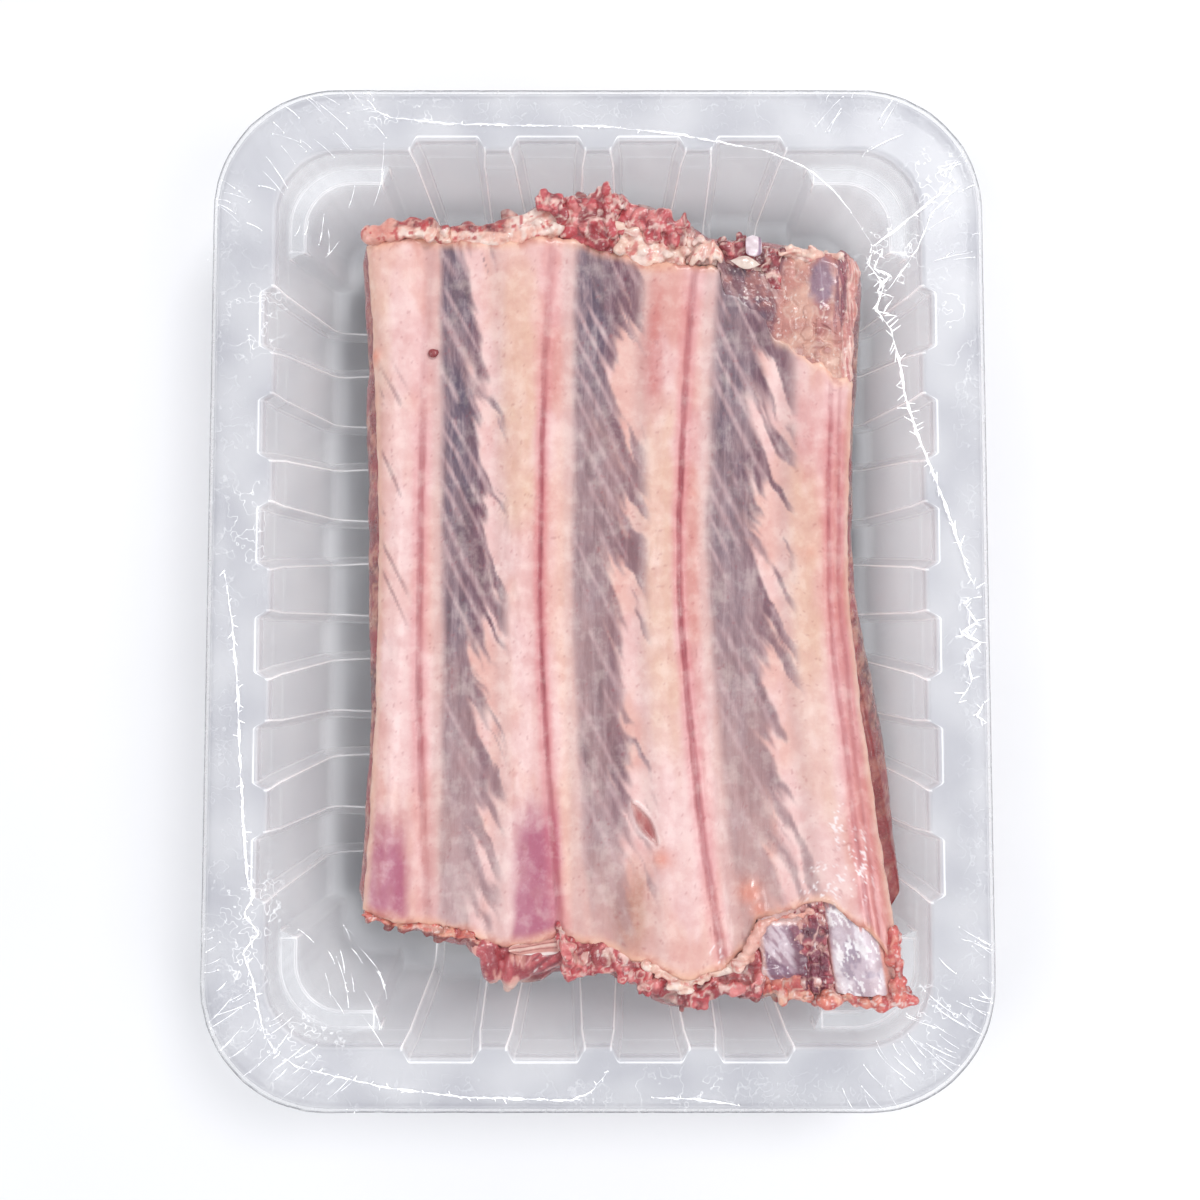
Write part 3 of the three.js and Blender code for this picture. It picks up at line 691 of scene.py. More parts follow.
def vein_share(s, x, y):
    """The red vessels, and the pink blush beside them."""
    vein, halo = np.zeros_like(s), np.zeros_like(s)
    for number, (start, bend, width, strength) in enumerate(VEIN_LINES):
        away = np.abs(s - start - bend * sag(y) - 0.007 * (cloud(y / 24, y * 0 + number, 31) - 0.5))
        power = steps(strength, y)
        broad = width * (1.6 - 0.75 * power)
        edge = broad * (0.8 + 0.5 * cloud(y / 3.5, x / 2, 33 + number))
        uneven = power * (0.7 + 0.6 * (cloud(y / 7 + 9 * number, x / 4, 41) - 0.3))
        vein = np.maximum(vein, (1 - smooth(edge * 0.3, edge, away)) * uneven)
        halo = np.maximum(halo, (1 - smooth(broad * 0.7, broad * 2.8, away)) * power)
    return np.clip(vein, 0, 1), halo


def mound(x, y, cx, cy, half):
    """1 at the middle of a small lump, falling off round it."""
    return np.exp(-(((x - cx) ** 2 + (y - cy) ** 2) / half**2))


def skin_paint(s, x, y):
    """The membrane's colours and marks: pale bones, dark muscle with slanted fibres, red veins."""
    muscle, place = muscle_share(s, x, y)
    vein, halo = vein_share(s, x, y)
    threads = fibre_lines(x, y, 4.2, 21)
    hairs = fibre_lines(x, y, 1.9, 27)
    strokes = smooth(0.006, 0.02, s) * (1 - smooth(0.05, 0.085, s)) * smooth(-24, 0, y)
    strokes = strokes * (1 - smooth(60, 76, y)) * smooth(0.35, 0.75, fibre_lines(x, y, 4.2, 29))
    haze = np.zeros_like(s)
    for left, _, right, _, _ in MUSCLE_BANDS:
        haze = np.maximum(haze, 1 - smooth(0.004, 0.024, np.abs(s - left + 0.006)))
        haze = np.maximum(haze, 0.8 - 0.8 * smooth(0.0, 0.03, np.abs(s - right)))
    lump = np.zeros_like(s)
    for cx, cy, half, _ in BUMPS[3:6]:
        lump = np.maximum(lump, mound(x, y, cx, cy, half))
    pale = cloud(x / 10, y / 24, 71)
    fresh = cloud(x / 3.2, y / 4.4, 73)
    layers = [(BLUSH, smooth(0.42, 0.64, pale) * 0.75), (ROSE, smooth(0.56, 0.78, fresh) * 0.16)]
    layers += [(STAINS[number][0], stain_share(s, x, y, number)) for number in range(len(STAINS))]
    layers += [
        (HAZE, haze * 0.6),
        (VEIN_HALO, halo * 0.62),
        (VEIN, vein * 0.92),
        (HAZE, smooth(0.02, 0.3, muscle) * 0.5),
        (MUSCLE_SLATE, muscle * 0.95),
        (MUSCLE_PLUM, muscle * smooth(0.3, 0.75, place + 0.5 * (cloud(x / 6, y / 12, 61) - 0.5)) * 0.85),
        (FIBRE, muscle * threads * 0.72),
        (FIBRE, muscle * hairs * 0.1),
        (MUSCLE_PLUM, strokes * 0.5),
        ((252, 226, 206), lump * 0.8),
        (VEIN, smooth(0.8, 0.86, cloud(x / 1.1, y / 1.1, 77, 2)) * 0.3),
    ]
    return paint(CREAM, *layers) * np.array([0.94, 0.87, 0.88]), muscle, vein


CUT = (14.5, -72.5, 8.2, 2.6, math.radians(-58))  # a small slit: its middle, half sizes and turn


def slit(x, y):
    """How deep inside the slit a point is (0 to 1), and how near its lips."""
    cx, cy, long, wide, turn = CUT
    a = (x - cx) * math.cos(turn) + (y - cy) * math.sin(turn)
    b = -(x - cx) * math.sin(turn) + (y - cy) * math.cos(turn)
    limit = np.maximum(wide * (1 - np.clip(np.abs(a) / long, 0, 1) ** 1.6), 0.01)
    inside = 1 - smooth(0.6, 1.0, np.abs(b) / limit)
    inside = np.where(np.abs(a) < long, inside, 0.0)
    near = np.exp(-((np.abs(b) - limit) / 0.9) ** 2) * (1 - smooth(long * 0.85, long * 1.15, np.abs(a)))
    return inside, near


BUMPS = (  # small lumps on the membrane: x, y, half size and height
    (19.3, -82.8, 2.6, 1.0), (46.6, -92.6, 3.4, 1.3), (48.6, -97.0, 2.6, 1.0), (-71.2, 73.8, 2.2, 1.2),
    (-72.6, 60.5, 1.6, 0.8), (-70.0, 22.0, 1.4, 0.6), (30.5, 30.0, 1.5, 0.3), (66.0, 12.0, 2.4, 0.4),
)


GLINTS = (  # where painted white highlights stand for the wet membrane's glints in small crinkles: x, y and half sizes
    (70.0, -90.5, 11.0, 9.0), (80.0, -84.0, 6.0, 14.0), (35.5, -111.0, 3.0, 5.0), (74.0, -72.0, 4.0, 10.0),
)


def skin_relief(x, y, muscle, vein):
    """The membrane's own low relief, in millimetres."""
    inside, near = slit(x, y)
    relief = 0.5 * (cloud(x / 6, y / 18, 81) - 0.5) + 0.18 * (cloud(x / 1.6, y / 2.6, 83) - 0.5)
    relief = relief - 0.4 * vein - 0.25 * muscle - 1.1 * inside + 0.45 * near
    for cx, cy, half, height in BUMPS:
        relief = relief + height * mound(x, y, cx, cy, half)
    return relief


def skin_surface(u, v, upper):
    """The membrane's upper face, or the one a little under it."""
    low = along(SKIN_BOTTOM, u) + 2.4 * (cloud(u * 60, v * 0 + 0.5, 91) - 0.5)
    high = along(SKIN_TOP, u) + 2.8 * (cloud(u * 55, v * 0 + 4.5, 93) - 0.5)
    y = mix(low, high, v)
    x = rack_x(u, y)
    edge = np.minimum(u, 1 - u) * (right_edge(y) - left_edge(y))
    end = np.minimum(y - low, high - y)
    roll = 2.2 * (1 - np.clip(edge / 3.2, 0, 1)) ** 2 + 0.6 * (1 - np.clip(end / 1.6, 0, 1)) ** 2
    wave = 0.9 * (cloud(y / 4.5, u * 0, 95) - 0.35) * (1 - np.clip(edge / 4, 0, 1))
    x = x + np.where(u < 0.5, 1, -1) * wave
    muscle, _ = muscle_share(u, x, y)
    vein, _ = vein_share(u, x, y)
    z = skin_level(u, y) + skin_relief(x, y, muscle, vein) - roll - (0.0 if upper else SKIN_THICK)
    return x, y, np.minimum(z, TRAY_HIGH[2] - UNDER_RIM)


def build_membrane(detail):
    nu, nv = (int(cells * detail) // SKIN_COARSE * SKIN_COARSE for cells in SKIN_CELLS)
    points, faces = pillow(skin_surface, nu, nv, 1, 0.25, SKIN_COARSE)
    x, y, s = points[:, 0], points[:, 1], across(points)
    tint, muscle, vein = skin_paint(s, x, y)
    inside, near = slit(x, y)
    end = np.minimum(y - along(SKIN_BOTTOM, s), along(SKIN_TOP, s) - y)
    torn = 1 - smooth(0.4, 3.2 + 3 * cloud(x / 4, y / 4, 97), end + 0.8)
    torn = torn * (1 - smooth(0.7, 0.715, s) * (1 - smooth(0.815, 0.84, s)) * (y > 0))
    side = 1 - smooth(0.3, 3.0, np.minimum(s, 1 - s) * RACK_WIDTH)
    lump = np.zeros_like(x)
    for cx, cy, half, height in BUMPS:
        lump = np.maximum(lump, height * mound(x, y, cx, cy, half * 1.1))
    bloody = smooth(0.5, 0.68, cloud(x / 3.0, y / 2.2, 98))
    glint_crinkle = 1 - np.abs(cloud(x / 1.7, y / 2.6, 89, 2) - 0.5) * 20
    glinting = np.zeros_like(x)
    for cx, cy, half_x, half_y in GLINTS:
        near_by = 1 - smooth(0.5, 1.0, np.hypot((x - cx) / half_x, (y - cy) / half_y))
        glinting = np.maximum(glinting, near_by * smooth(0.2, 0.8, glint_crinkle))
    # The glinting places are painted near white: painted highlights.
    tint = over(
        tint, ((168, 70, 66), inside * 0.85), (BLUSH, near * 0.5), (FAT_CREAM, torn * 0.8),
        (LEAN_RED, torn * bloody * 0.6), (FAT_CREAM, side * 0.6),
        ((232, 150, 128), np.clip(lump * 0.75, 0, 0.8)),
        ((255, 250, 250), glinting * 0.85),
    )
    wet = smooth(0.5, 0.9, cloud(x / 18, y / 26, 99)) * 0.5 + smooth(-70, -100, y) * smooth(0.6, 0.75, s)
    marks = np.stack([muscle, np.clip(wet, 0, 1), vein], axis=1)
    make_piece("membrane_skin", points, faces, "membrane", tint, "membrane", skin_look(), marks)


# Ribs and the muscle between them
SAWN_SLANT = 7.0


def rib_points(number, low, high, slant=0.0, nu=28, nv=150, crowd=1.0):
    """A rib: a flattened round bar with an uneven surface, its lower end sawn square or at a slant."""
    start, end = BONES[number]
    side, cover = 0.012, SKIN_THICK + GAP

    def surface(u, v, upper):
        s = mix(start + side, end - side, u)
        y = mix(low(s) - (0 if upper else slant), high(s), v**crowd)
        skin = skin_level(s, y) - cover
        base = rack_level(y) - BONE_DEPTH + 0.4
        middle = (skin + base) / 2
        rounded = np.sqrt(np.clip(1 - (2 * u - 1) ** 2, 0, 1))
        z = mix(middle + 1.6, skin, rounded**0.6) if upper else mix(middle - 1.6, base, rounded**0.8)
        return rack_x(s, y), y, z

    points, faces = pillow(surface, nu, nv, 5, 0.8)
    points = swell(points, faces, 0.5 * (cloud3(points, 5.0, 101 + number) - 0.5))
    return points, faces


def build_ribs(ends):
    for number, (low, high) in enumerate(ends):
        slant = SAWN_SLANT if number == 1 else 0.0
        cut = (56, 300, 1.8) if number == 3 else (28, 150, 1.0)
        points, faces = rib_points(number, low, high, slant, *cut)
        x, y, z = points.T
        s = across(points)
        face_low, face_high = y - low(s), high(s) - y
        sawn = 1 - smooth(0.15, 0.7, np.minimum(face_low, face_high))
        middle = rack_level(y) - 5.4
        centre = np.mean(BONES[number])
        away = np.hypot((s - centre) / 0.055, (z - middle) / 4.6)
        spongy = sawn * (1 - smooth(0.72, 0.95, away))
        holes = smooth(0.5, 0.62, cloud(x / 1.1, z / 1.1, 107, 2))
        tint = paint(
            (232, 190, 176),
            (BLUSH, cloud3(points, 9.0, 109) * 0.8),
            (ROSE, smooth(0.55, 0.75, cloud3(points, 6.0, 111)) * 0.5),
            (IVORY, sawn * 0.8),
            (MARROW, spongy * (0.35 + 0.6 * holes)),
        )
        bare = smooth(-0.5, 0.8, np.maximum(y - along(SKIN_TOP, s), along(SKIN_BOTTOM, s) - y)) * (1 - sawn)
        bloody = smooth(0.42, 0.62, cloud3(points, 2.6, 117))
        tint = over(tint, ((206, 112, 106), bare * 0.5), (DEEP_RED, bare * bloody * 0.6))
        if slant:
            deep = np.clip((low(s) - y) / slant, 0, 1)
            out = np.abs(s - centre) / 0.052
            lens = deep / np.maximum(1 - out**2, 0.02)
            layer = cloud(x / 9, lens * 2.6, 127, 2)
            face = paint((206, 126, 110), ((240, 196, 176), smooth(0.5, 0.6, layer)),
                         ((150, 58, 56), (1 - smooth(0.34, 0.42, layer)) * 0.8),
                         ((255, 240, 226), np.maximum(1 - smooth(0.06, 0.16, lens),
                                                      smooth(0.74, 0.84, lens)) * 0.9),
                         ((150, 30, 42), smooth(0.92, 1.0, lens) * 0.9))
            tint = mix(tint, face, smooth(0.02, 0.08, deep)[:, None])
        if number == 3:
            # The silver skin's near-white patches and its white crinkles are painted highlights.
            panel = 1 - smooth(-99, -94, y)
            seam = 1 - np.abs(cloud(x / 6 + y / 40, y / 30, 115) - 0.5) * 26
            glint_crinkle = smooth(0.55, 0.62, cloud((x + 0.5 * y) / 0.9, (y - 0.5 * x) / 2.0, 119, 2))
            edges = np.maximum(1 - smooth(0.868, 0.876, s), smooth(0.958, 0.964, s))
            silver_skin_and_glints = paint((208, 190, 200), ((158, 140, 160),
                                             smooth(0.5, 0.64, cloud(x / 2.4, y / 4, 113)) * 0.7),
                           ((250, 244, 248), smooth(0.5, 0.6, cloud(x / 4.0, y / 7, 139)) * 0.7),
                           ((255, 254, 255), glint_crinkle * smooth(0.3, 0.46, cloud(x / 5, y / 5, 129))),
                           ((214, 104, 92), smooth(0.2, 0.9, seam) * 0.75), ((232, 160, 136), edges * 0.8))
            tint = mix(tint, silver_skin_and_glints, panel[:, None])
        make_piece(f"rib_{number + 1}", points, faces, "bone", tint, f"rib_bone_{number + 1}")


def build_rib_muscles():
    for number in range(3):
        start, end = BONES[number][1] + 0.002, BONES[number + 1][0] - 0.002

        def surface(u, v, upper):
            s = mix(start, end, u)
            y = mix(along(SKIN_BOTTOM, s) + 1.2, along(SKIN_TOP, s) - 1.2, v)
            z = skin_level(s, y) - SKIN_THICK - GAP if upper else rack_level(y) - MUSCLE_DEPTH
            return rack_x(s, y), y, z

        points, faces = pillow(surface, 24, 120, 5, 0.6)
        points = swell(points, faces, 0.6 * (cloud3(points, 4.0, 121) - 0.5))
        tint = paint((120, 40, 50), (MUSCLE_PLUM, cloud3(points, 5.0, 123)),
                     (LEAN_PINK, smooth(0.6, 0.8, cloud3(points, 2.5, 125)) * 0.6))
        make_piece(f"rib_muscle_{number + 1}_soft", points, faces, "muscle", tint, f"rib_muscle_{number + 1}")


def keep_in_tray(points, clear=0.7):
    """Holds points inside the tray's wall and its corner ledges."""
    x, y, z = points.T
    fall = np.maximum(0, TRAY_HIGH[2] - z) * WALL_LEAN
    corner = smooth(LEDGE_ARM_X - 18, LEDGE_ARM_X - 10, np.abs(x))
    corner = corner * smooth(LEDGE_ARM_Y - 12, LEDGE_ARM_Y - 2, np.abs(y))
    ledge = LEDGE_INSET * corner * (1 - smooth(TRAY_HIGH[2] - LEDGE_DROP, TRAY_HIGH[2] - LEDGE_DROP + 3, z))
    inset = fall + ledge + clear
    half_x, half_y = WALL_X - inset - WALL_RADIUS, WALL_Y - inset - WALL_RADIUS
    dx, dy = np.abs(x) - half_x, np.abs(y) - half_y
    reach = np.hypot(np.maximum(dx, 0), np.maximum(dy, 0))
    scale = np.where(reach > WALL_RADIUS, WALL_RADIUS / np.maximum(reach, 1e-9), 1.0)
    out = points.copy()
    out[:, 0] = np.where(dx > 0, np.sign(x) * (half_x + dx * scale), x)
    out[:, 1] = np.where(dy > 0, np.sign(y) * (half_y + dy * scale), y)
    return out


def lean_paint(points, seed):
    """Raw lean meat: deep and bright red, with pink grain and threads of fat."""
    grainy = cloud3(points, 2.2, seed)
    broad = cloud3(points, 8.0, seed + 1)
    thread = 1 - np.abs(cloud3(points, 5.0, seed + 2) - 0.5) * 14
    return paint(
        DEEP_RED,
        (LEAN_RED, smooth(0.35, 0.62, broad)),
        (LEAN_PINK, smooth(0.54, 0.7, grainy) * 0.7),
        (FAT_CREAM, smooth(0.3, 0.9, thread) * 0.55),
    )


def build_slab(detail):
    """The thick meat under the ribs, bulging past them."""
    inset = 1.2

    def surface(u, v, upper):
        s = mix(0.006, 0.995, u) if upper else mix(0.04, 0.96, u)
        short = 2.4 * (1 - smooth(0.1, 0.25, s)) + 5.5 * smooth(0.16, 0.24, s) * (1 - smooth(0.4, 0.5, s))
        y = mix(along(MEAT_BOTTOM, s) + inset + short, along(MEAT_TOP, s) - inset, v)
        s = s + 0.04 * smooth(0.8, 1.0, u) * smooth(30, -80, y)
        s = s - 0.011 * smooth(0.2, 0.0, u) * smooth(76, 64, y) * smooth(-40, 0, y)
        x = rack_x(s, y)
        if upper:
            return x, y, rack_level(y) - SLAB_DEPTH
        return x, y * 0.97, 1.95 + 4.5 * sag(y) ** 2

    points, faces = pillow(surface, *(int(cells * detail) for cells in SLAB_CELLS), SLAB_RINGS, SLAB_BULGE)
    rough = 2.4 * (cloud3(points, 11.0, 131) - 0.5) + 0.9 * (cloud3(points, 2.6, 133) - 0.5)
    low = points[:, 2] < 3.0
    points = swell(points, faces, np.where(low, np.minimum(rough, 0), rough))
    points = keep_in_tray(points)
    points[:, 2] = np.maximum(points[:, 2], SLAB_FOOT)
    tint = lean_paint(points, 135)
    tint = over(tint, ((176, 58, 58), smooth(20, 29, points[:, 2]) * 0.6))
    make_piece("meat_slab_soft", points, faces, "meat", tint, "meat_slab")


# The lumps at the rack's two ends
def at(s, y, above=0.0):
    """A place on the rack, with a height over its level."""
    return float(rack_x(s, y)), y, float(rack_level(y)) + above


def lumps(rows):
    """A lobe for each row: its place across and along, its height, its half sizes and its turns."""
    return [lobe(at(s, y, up), sizes, *turns) for s, y, up, sizes, *turns in rows]


def end_line(end, share, s):
    skin, meat = (SKIN_TOP, MEAT_TOP) if end == "top" else (SKIN_BOTTOM, MEAT_BOTTOM)
    return mix(along(skin, s), along(meat, s), share)


def end_core(end, left, right, near, far, drop, rise, shrink=0.8):
    """The filled middle of an end lump."""
    def surface(u, v, upper):
        pad = 0.004
        s = mix(left + pad, right - pad, u)
        sign = 1 if end == "top" else -1
        low = end_line(end, near, s) + sign * (0.2 - 0.9)
        high = end_line(end, far, s) - sign * shrink
        y = mix(low, high, v) if sign > 0 else mix(high, low, v)
        hump = np.sin(math.pi * np.clip(u, 0.06, 0.94)) * np.sin(math.pi * np.clip(v, 0.1, 0.9))
        z = rack_level(y) - drop + rise * hump - 0.7 if upper else rack_level(y) - MUSCLE_DEPTH
        return rack_x(s, y), y, np.minimum(z, TRAY_HIGH[2] - 0.5)
    return pillow(surface, 16, 10, 6, 1.0)


def end_lobes(end, left, right, near, far, drop, count, sizes, seed, lean=0.0, over=0.6):
    """Soft lumps strewn over an end lump's top and outer face."""
    rng = np.random.default_rng(seed)
    shells = []
    for _ in range(count):
        s = rng.uniform(left, right)
        share = rng.uniform(near, far)
        y = float(end_line(end, share, s))
        x = float(rack_x(s, y))
        size = rng.uniform(*sizes)
        depth = rng.choice([0.0, 0.0, 3.0, 6.5])
        z = float(rack_level(y)) - drop + over - depth - size * 0.35
        stretch = rng.uniform(1.0, 1.7)
        shells.append(lobe((x, y, z), (size, size * stretch, size * rng.uniform(0.5, 0.8)),
                           lean + rng.uniform(-0.6, 0.6), rng.uniform(-0.3, 0.3)))
    return shells


FLESH_MIXES = {  # first colour, painted shade for the creases, then patches: colour, size in mm, level and strength
    "red": ((200, 66, 74), (112, 12, 26),
            (((236, 142, 138), 2.6, 0.52, 0.85), ((146, 18, 34), 2.8, 0.52, 0.8),
             ((252, 216, 204), 1.5, 0.575, 0.8))),
    "dark": ((150, 28, 44), (78, 6, 18),
             (((214, 96, 98), 2.2, 0.54, 0.8), ((104, 10, 26), 3.0, 0.5, 0.8),
              ((250, 206, 194), 1.4, 0.58, 0.8))),
    "fat": ((250, 216, 196), (212, 116, 102),
            (((244, 186, 168), 4.0, 0.5, 0.8), ((212, 80, 82), 1.6, 0.57, 0.7),
             ((255, 240, 228), 2.4, 0.51, 0.7))),
    "rim": ((228, 132, 110), (134, 24, 32),
            (((248, 194, 166), 3.0, 0.52, 0.8), ((188, 44, 52), 2.4, 0.53, 0.85),
             ((220, 98, 86), 2.0, 0.52, 0.8))),
}


def folded(points, faces, cell, depth, kind, seed):
    """Gives a mass lumps of about a cell's size with creases between, and paints it in patches, with painted
    shade in the creases and small painted highlights.
    """
    first, crease_shade, patches = FLESH_MIXES[kind]
    twist = [cloud3(points + 9 * n, 4.0, seed + n, 2) - 0.5 for n in range(3)]
    moved = points + 6.0 * np.stack(twist, axis=1)
    lump = np.clip(np.abs(cloud3(moved / np.asarray(cell), 1.0, seed + 3, 2) - 0.5) * 8, 0, 1)
    fine = np.clip(np.abs(cloud3(moved / np.asarray(cell), 0.4, seed + 4, 1) - 0.5) * 5, 0, 1)
    points = swell(points, faces, depth * (lump - 0.7) + 0.3 * depth * (fine - 0.5))
    layers = [(colour, smooth(level - 0.03, level + 0.05, cloud3(moved, size, seed + 5 + n)) * strength)
              for n, (colour, size, level, strength) in enumerate(patches)]
    thread = 1 - np.abs(cloud3(moved, 5.0, seed + 12) - 0.5) * 30
    # Painted shade darkens the creases between lumps; small white spots are painted highlights; lower down
    # the colour goes deep red, partly the deeper meat's own colour and partly painted shade.
    layers += [(crease_shade, (1 - smooth(0.0, 0.3, lump)) * 0.55), (FAT_WHITE, smooth(0.2, 0.9, thread) * 0.55),
               ((255, 244, 238), smooth(0.65, 0.7, cloud3(points, 0.8, seed + 14)) * 0.6),
               (DEEP_RED, smooth(2.0, 4.5, rack_level(points[:, 1]) - points[:, 2]) * 0.55)]
    return points, paint(first, *layers)


def open_mass(end, name, node, slot, colour, span, drop=0.5, relief=1.0, cell=2.4, seam=0.6):
    """A part of the rack that lies open at an end. It goes on at the membrane's level, wrinkled and wet."""
    left, right, near, far = span
    sign = 1 if end == "top" else -1
    seed = sum(ord(letter) for letter in name)

    def surface(u, v, upper):
        s = mix(left, right, u)
        low, high = end_line(end, near, s) - sign * 1.4, end_line(end, far, s)
        y = mix(low, high, v) if sign > 0 else mix(high, low, v)
        s = s + 0.012 * (cloud(y / 4.0, s * 0 + seed, 201, 2) - 0.5)
        x = rack_x(s, y)
        if not upper:
            return x, y, rack_level(y) - MUSCLE_DEPTH
        flat = np.stack([x, y, 0 * x], axis=1)
        wrinkle = np.clip(np.abs(cloud3(flat, cell, seed, 2) - 0.5) * 8, 0, 1) - 0.6
        outer = v if sign > 0 else 1 - v
        fall = 1.6 * smooth(0.86, 1.0, outer) + seam * (1 - smooth(0.0, 0.1, np.minimum(u, 1 - u)))
        z = skin_level(s, y) - drop + relief * wrinkle * smooth(0, 0.12, outer) - fall
        return x, y, np.minimum(z, TRAY_HIGH[2] - UNDER_RIM)

    points, faces = pillow(surface, 56, 72, 5, 0.5)
    make_piece(name, points, faces, slot, colour(points, seed), node)


def end_mass(end, name, node, slot, colour, span, drop=1.0, rise=0.6, strewn=(), voxel=0.52, cell=2.2,
             depth=0.9, extra=(), shade=None):
    """One lump at an end of the rack: a filled middle, lobes strewn over it, and a rough surface.

    The span is its sides across the rack and its near and far edge. The strewn lobes have a count, sizes,
    a seed, a turn and how far they stand out. The colour is the name of a mix or, for smooth pieces, a
    function that paints the points."""
    left, right, near, far = span
    shells = [end_core(end, left, right, near, far, drop, rise)]
    if strewn:
        shells += end_lobes(end, left, right, near, far, drop, *strewn)
    shells += list(extra)
    points, faces = fused(shells, voxel, 4)
    seed = sum(ord(letter) for letter in name)
    if callable(colour):
        points = swell(points, faces, depth * (cloud3(points, cell, seed) - 0.5))
        tint = colour(points, seed)
    else:
        points, tint = folded(points, faces, cell, depth, colour, seed)
    if shade:
        tint = shade(points, tint)
    points = keep_in_tray(points, 0.5)
    points[:, 2] = np.minimum(points[:, 2], TRAY_HIGH[2] - 0.1)
    make_piece(name, points, faces, slot, tint, node)


def oval(points, s, y, half_x, half_y, ease=0.35):
    """1 inside an oval on the rack, easing to 0 round it."""
    cx = float(rack_x(s, y))
    wobble = 0.3 * (cloud(points[:, 0] / 2.2, points[:, 1] / 2.2, 205, 2) - 0.5)
    away = np.hypot((points[:, 0] - cx) / half_x, (points[:, 1] - y) / half_y) + wobble
    return 1 - smooth(1 - ease, 1 + ease * 0.4, away)


def glints(points, seed, size=0.8, level=0.63):
    """Where small painted highlights of wet flesh go, 0 to 1."""
    return smooth(level, level + 0.05, cloud3(points, size, seed))


def streaks(points, wide, long, turn, seed):
    """Long soft streaks at an angle from the rack's length, 0 to 1."""
    x, y = points[:, 0], points[:, 1]
    cross, run = x * math.cos(turn) + y * math.sin(turn), y * math.cos(turn) - x * math.sin(turn)
    return cloud(cross / wide, run / long, seed, 3)


def corner_paint(points, _):
    """The torn upper corner: brown muscle, tan fat, a violet-grey oval, plum flesh and pale strips, with
    small painted highlights.
    """
    x, y = points[:, 0], points[:, 1]
    s = across(points) + 0.016 * (cloud(x / 3, y / 3, 221, 3) - 0.5)
    run, upright = streaks(points, 1.4, 9, SLANT, 223), streaks(points, 1.0, 12, 0.12, 225)
    wrinkle = 1 - np.abs(cloud3(points, 5.0, 227, 2) - 0.5) * 30
    skin, _, _ = skin_paint(across(points), x, y)
    brown = paint((134, 78, 86), (MUSCLE_SLATE, smooth(0.44, 0.6, cloud3(points, 5.0, 229)) * 0.7),
                  ((182, 116, 108), smooth(0.5, 0.62, cloud3(points, 3.4, 231)) * 0.8),
                  ((222, 180, 172), smooth(0.54, 0.7, run) * 0.6))
    tan = paint((202, 136, 124), ((228, 178, 158), smooth(0.46, 0.58, cloud3(points, 7.0, 233, 2)) * 0.9),
                ((172, 98, 98), smooth(0.5, 0.62, cloud3(points, 6.0, 235, 2)) * 0.7),
                ((240, 206, 188), smooth(0.2, 0.9, wrinkle) * 0.5))
    plum = paint((160, 88, 98), ((112, 54, 72), smooth(0.46, 0.56, upright) * 0.8),
                 ((222, 158, 150), smooth(0.56, 0.66, upright) * 0.8))
    oval_face = paint((156, 124, 140), ((116, 92, 118), smooth(0.46, 0.6, run) * 0.7),
                      ((190, 168, 182), smooth(0.56, 0.7, upright) * 0.7))
    strips = paint((222, 152, 142), ((246, 208, 194), smooth(0.46, 0.54, upright)),
                   ((184, 70, 76), smooth(0.57, 0.66, upright) * 0.7))
    tear = 0.826 + 0.0007 * (y - 80)
    tint = mix(brown, skin, ((1 - smooth(0.765, 0.8, s)) * (1 - 0.85 * smooth(88, 97, y)))[:, None])
    tint = mix(tint, tan, smooth(tear - 0.006, tear + 0.012, s)[:, None])
    tint = mix(tint, plum, (smooth(0.938, 0.95, s) * smooth(76, 88, y + 6 * (upright - 0.5)))[:, None])
    tint = mix(tint, oval_face, oval(points, 0.917, 96.2, 4.4, 7.8, 0.45)[:, None])
    tint = mix(tint, strips, smooth(0.966, 0.976, s)[:, None])
    return over(tint, ((255, 242, 234), glints(points, 237) * 0.7))


def grey_bottom_paint(points, seed):
    """Violet-grey muscle with pale slanted streaks, dark plum at its right, a pale outline and small painted
    highlights.
    """
    s = across(points)
    y = points[:, 1]
    run = streaks(points, 1.7, 9, 0.7, seed)
    ragged = s + 0.016 * (cloud(points[:, 0] / 3, y / 4, seed + 2) - 0.5)
    plum = smooth(0.79, 0.806, ragged) * smooth(-100, -106, y)
    upper = smooth(-103.0, -101.6, y)
    return paint((178, 148, 162), ((128, 88, 114), smooth(0.48, 0.58, run) * 0.8),
                 ((226, 210, 218), (1 - smooth(0.36, 0.45, run)) * 0.9), ((108, 44, 72), plum * 0.9),
                 ((182, 104, 118), plum * smooth(0.52, 0.62, run) * 0.7),
                 ((236, 196, 186), np.maximum(1 - smooth(0.746, 0.753, s), upper) * 0.85),
                 ((250, 244, 248), glints(points, seed + 4) * 0.8))


def plum_paint(points, seed):
    """Dark plum and red flesh with pale seams, small pale lumps and small painted highlights."""
    seam = 1 - np.abs(cloud3(points, 3.6, seed + 3) - 0.5) * 22
    return paint((132, 50, 72), ((178, 72, 84), smooth(0.46, 0.58, cloud3(points, 3.0, seed))),
                 ((88, 36, 58), smooth(0.52, 0.62, cloud3(points, 3.6, seed + 1)) * 0.8),
                 ((234, 178, 168), smooth(0.53, 0.6, cloud3(points, 2.2, seed + 5)) * 0.75),
                 ((236, 190, 178), smooth(0.2, 0.9, seam) * 0.7),
                 ((255, 240, 234), glints(points, seed + 2) * 0.8))


def knuckle_shade(points, tint):
    """Pink flesh over the first rib's end, and cream cartilage beside it."""
    s = across(points) + 0.01 * (cloud(points[:, 0] / 2, points[:, 1] / 2, 207) - 0.5)
    return lip_shade(points, over(tint, ((226, 150, 134), (1 - smooth(0.05, 0.09, s)) * 0.75)))


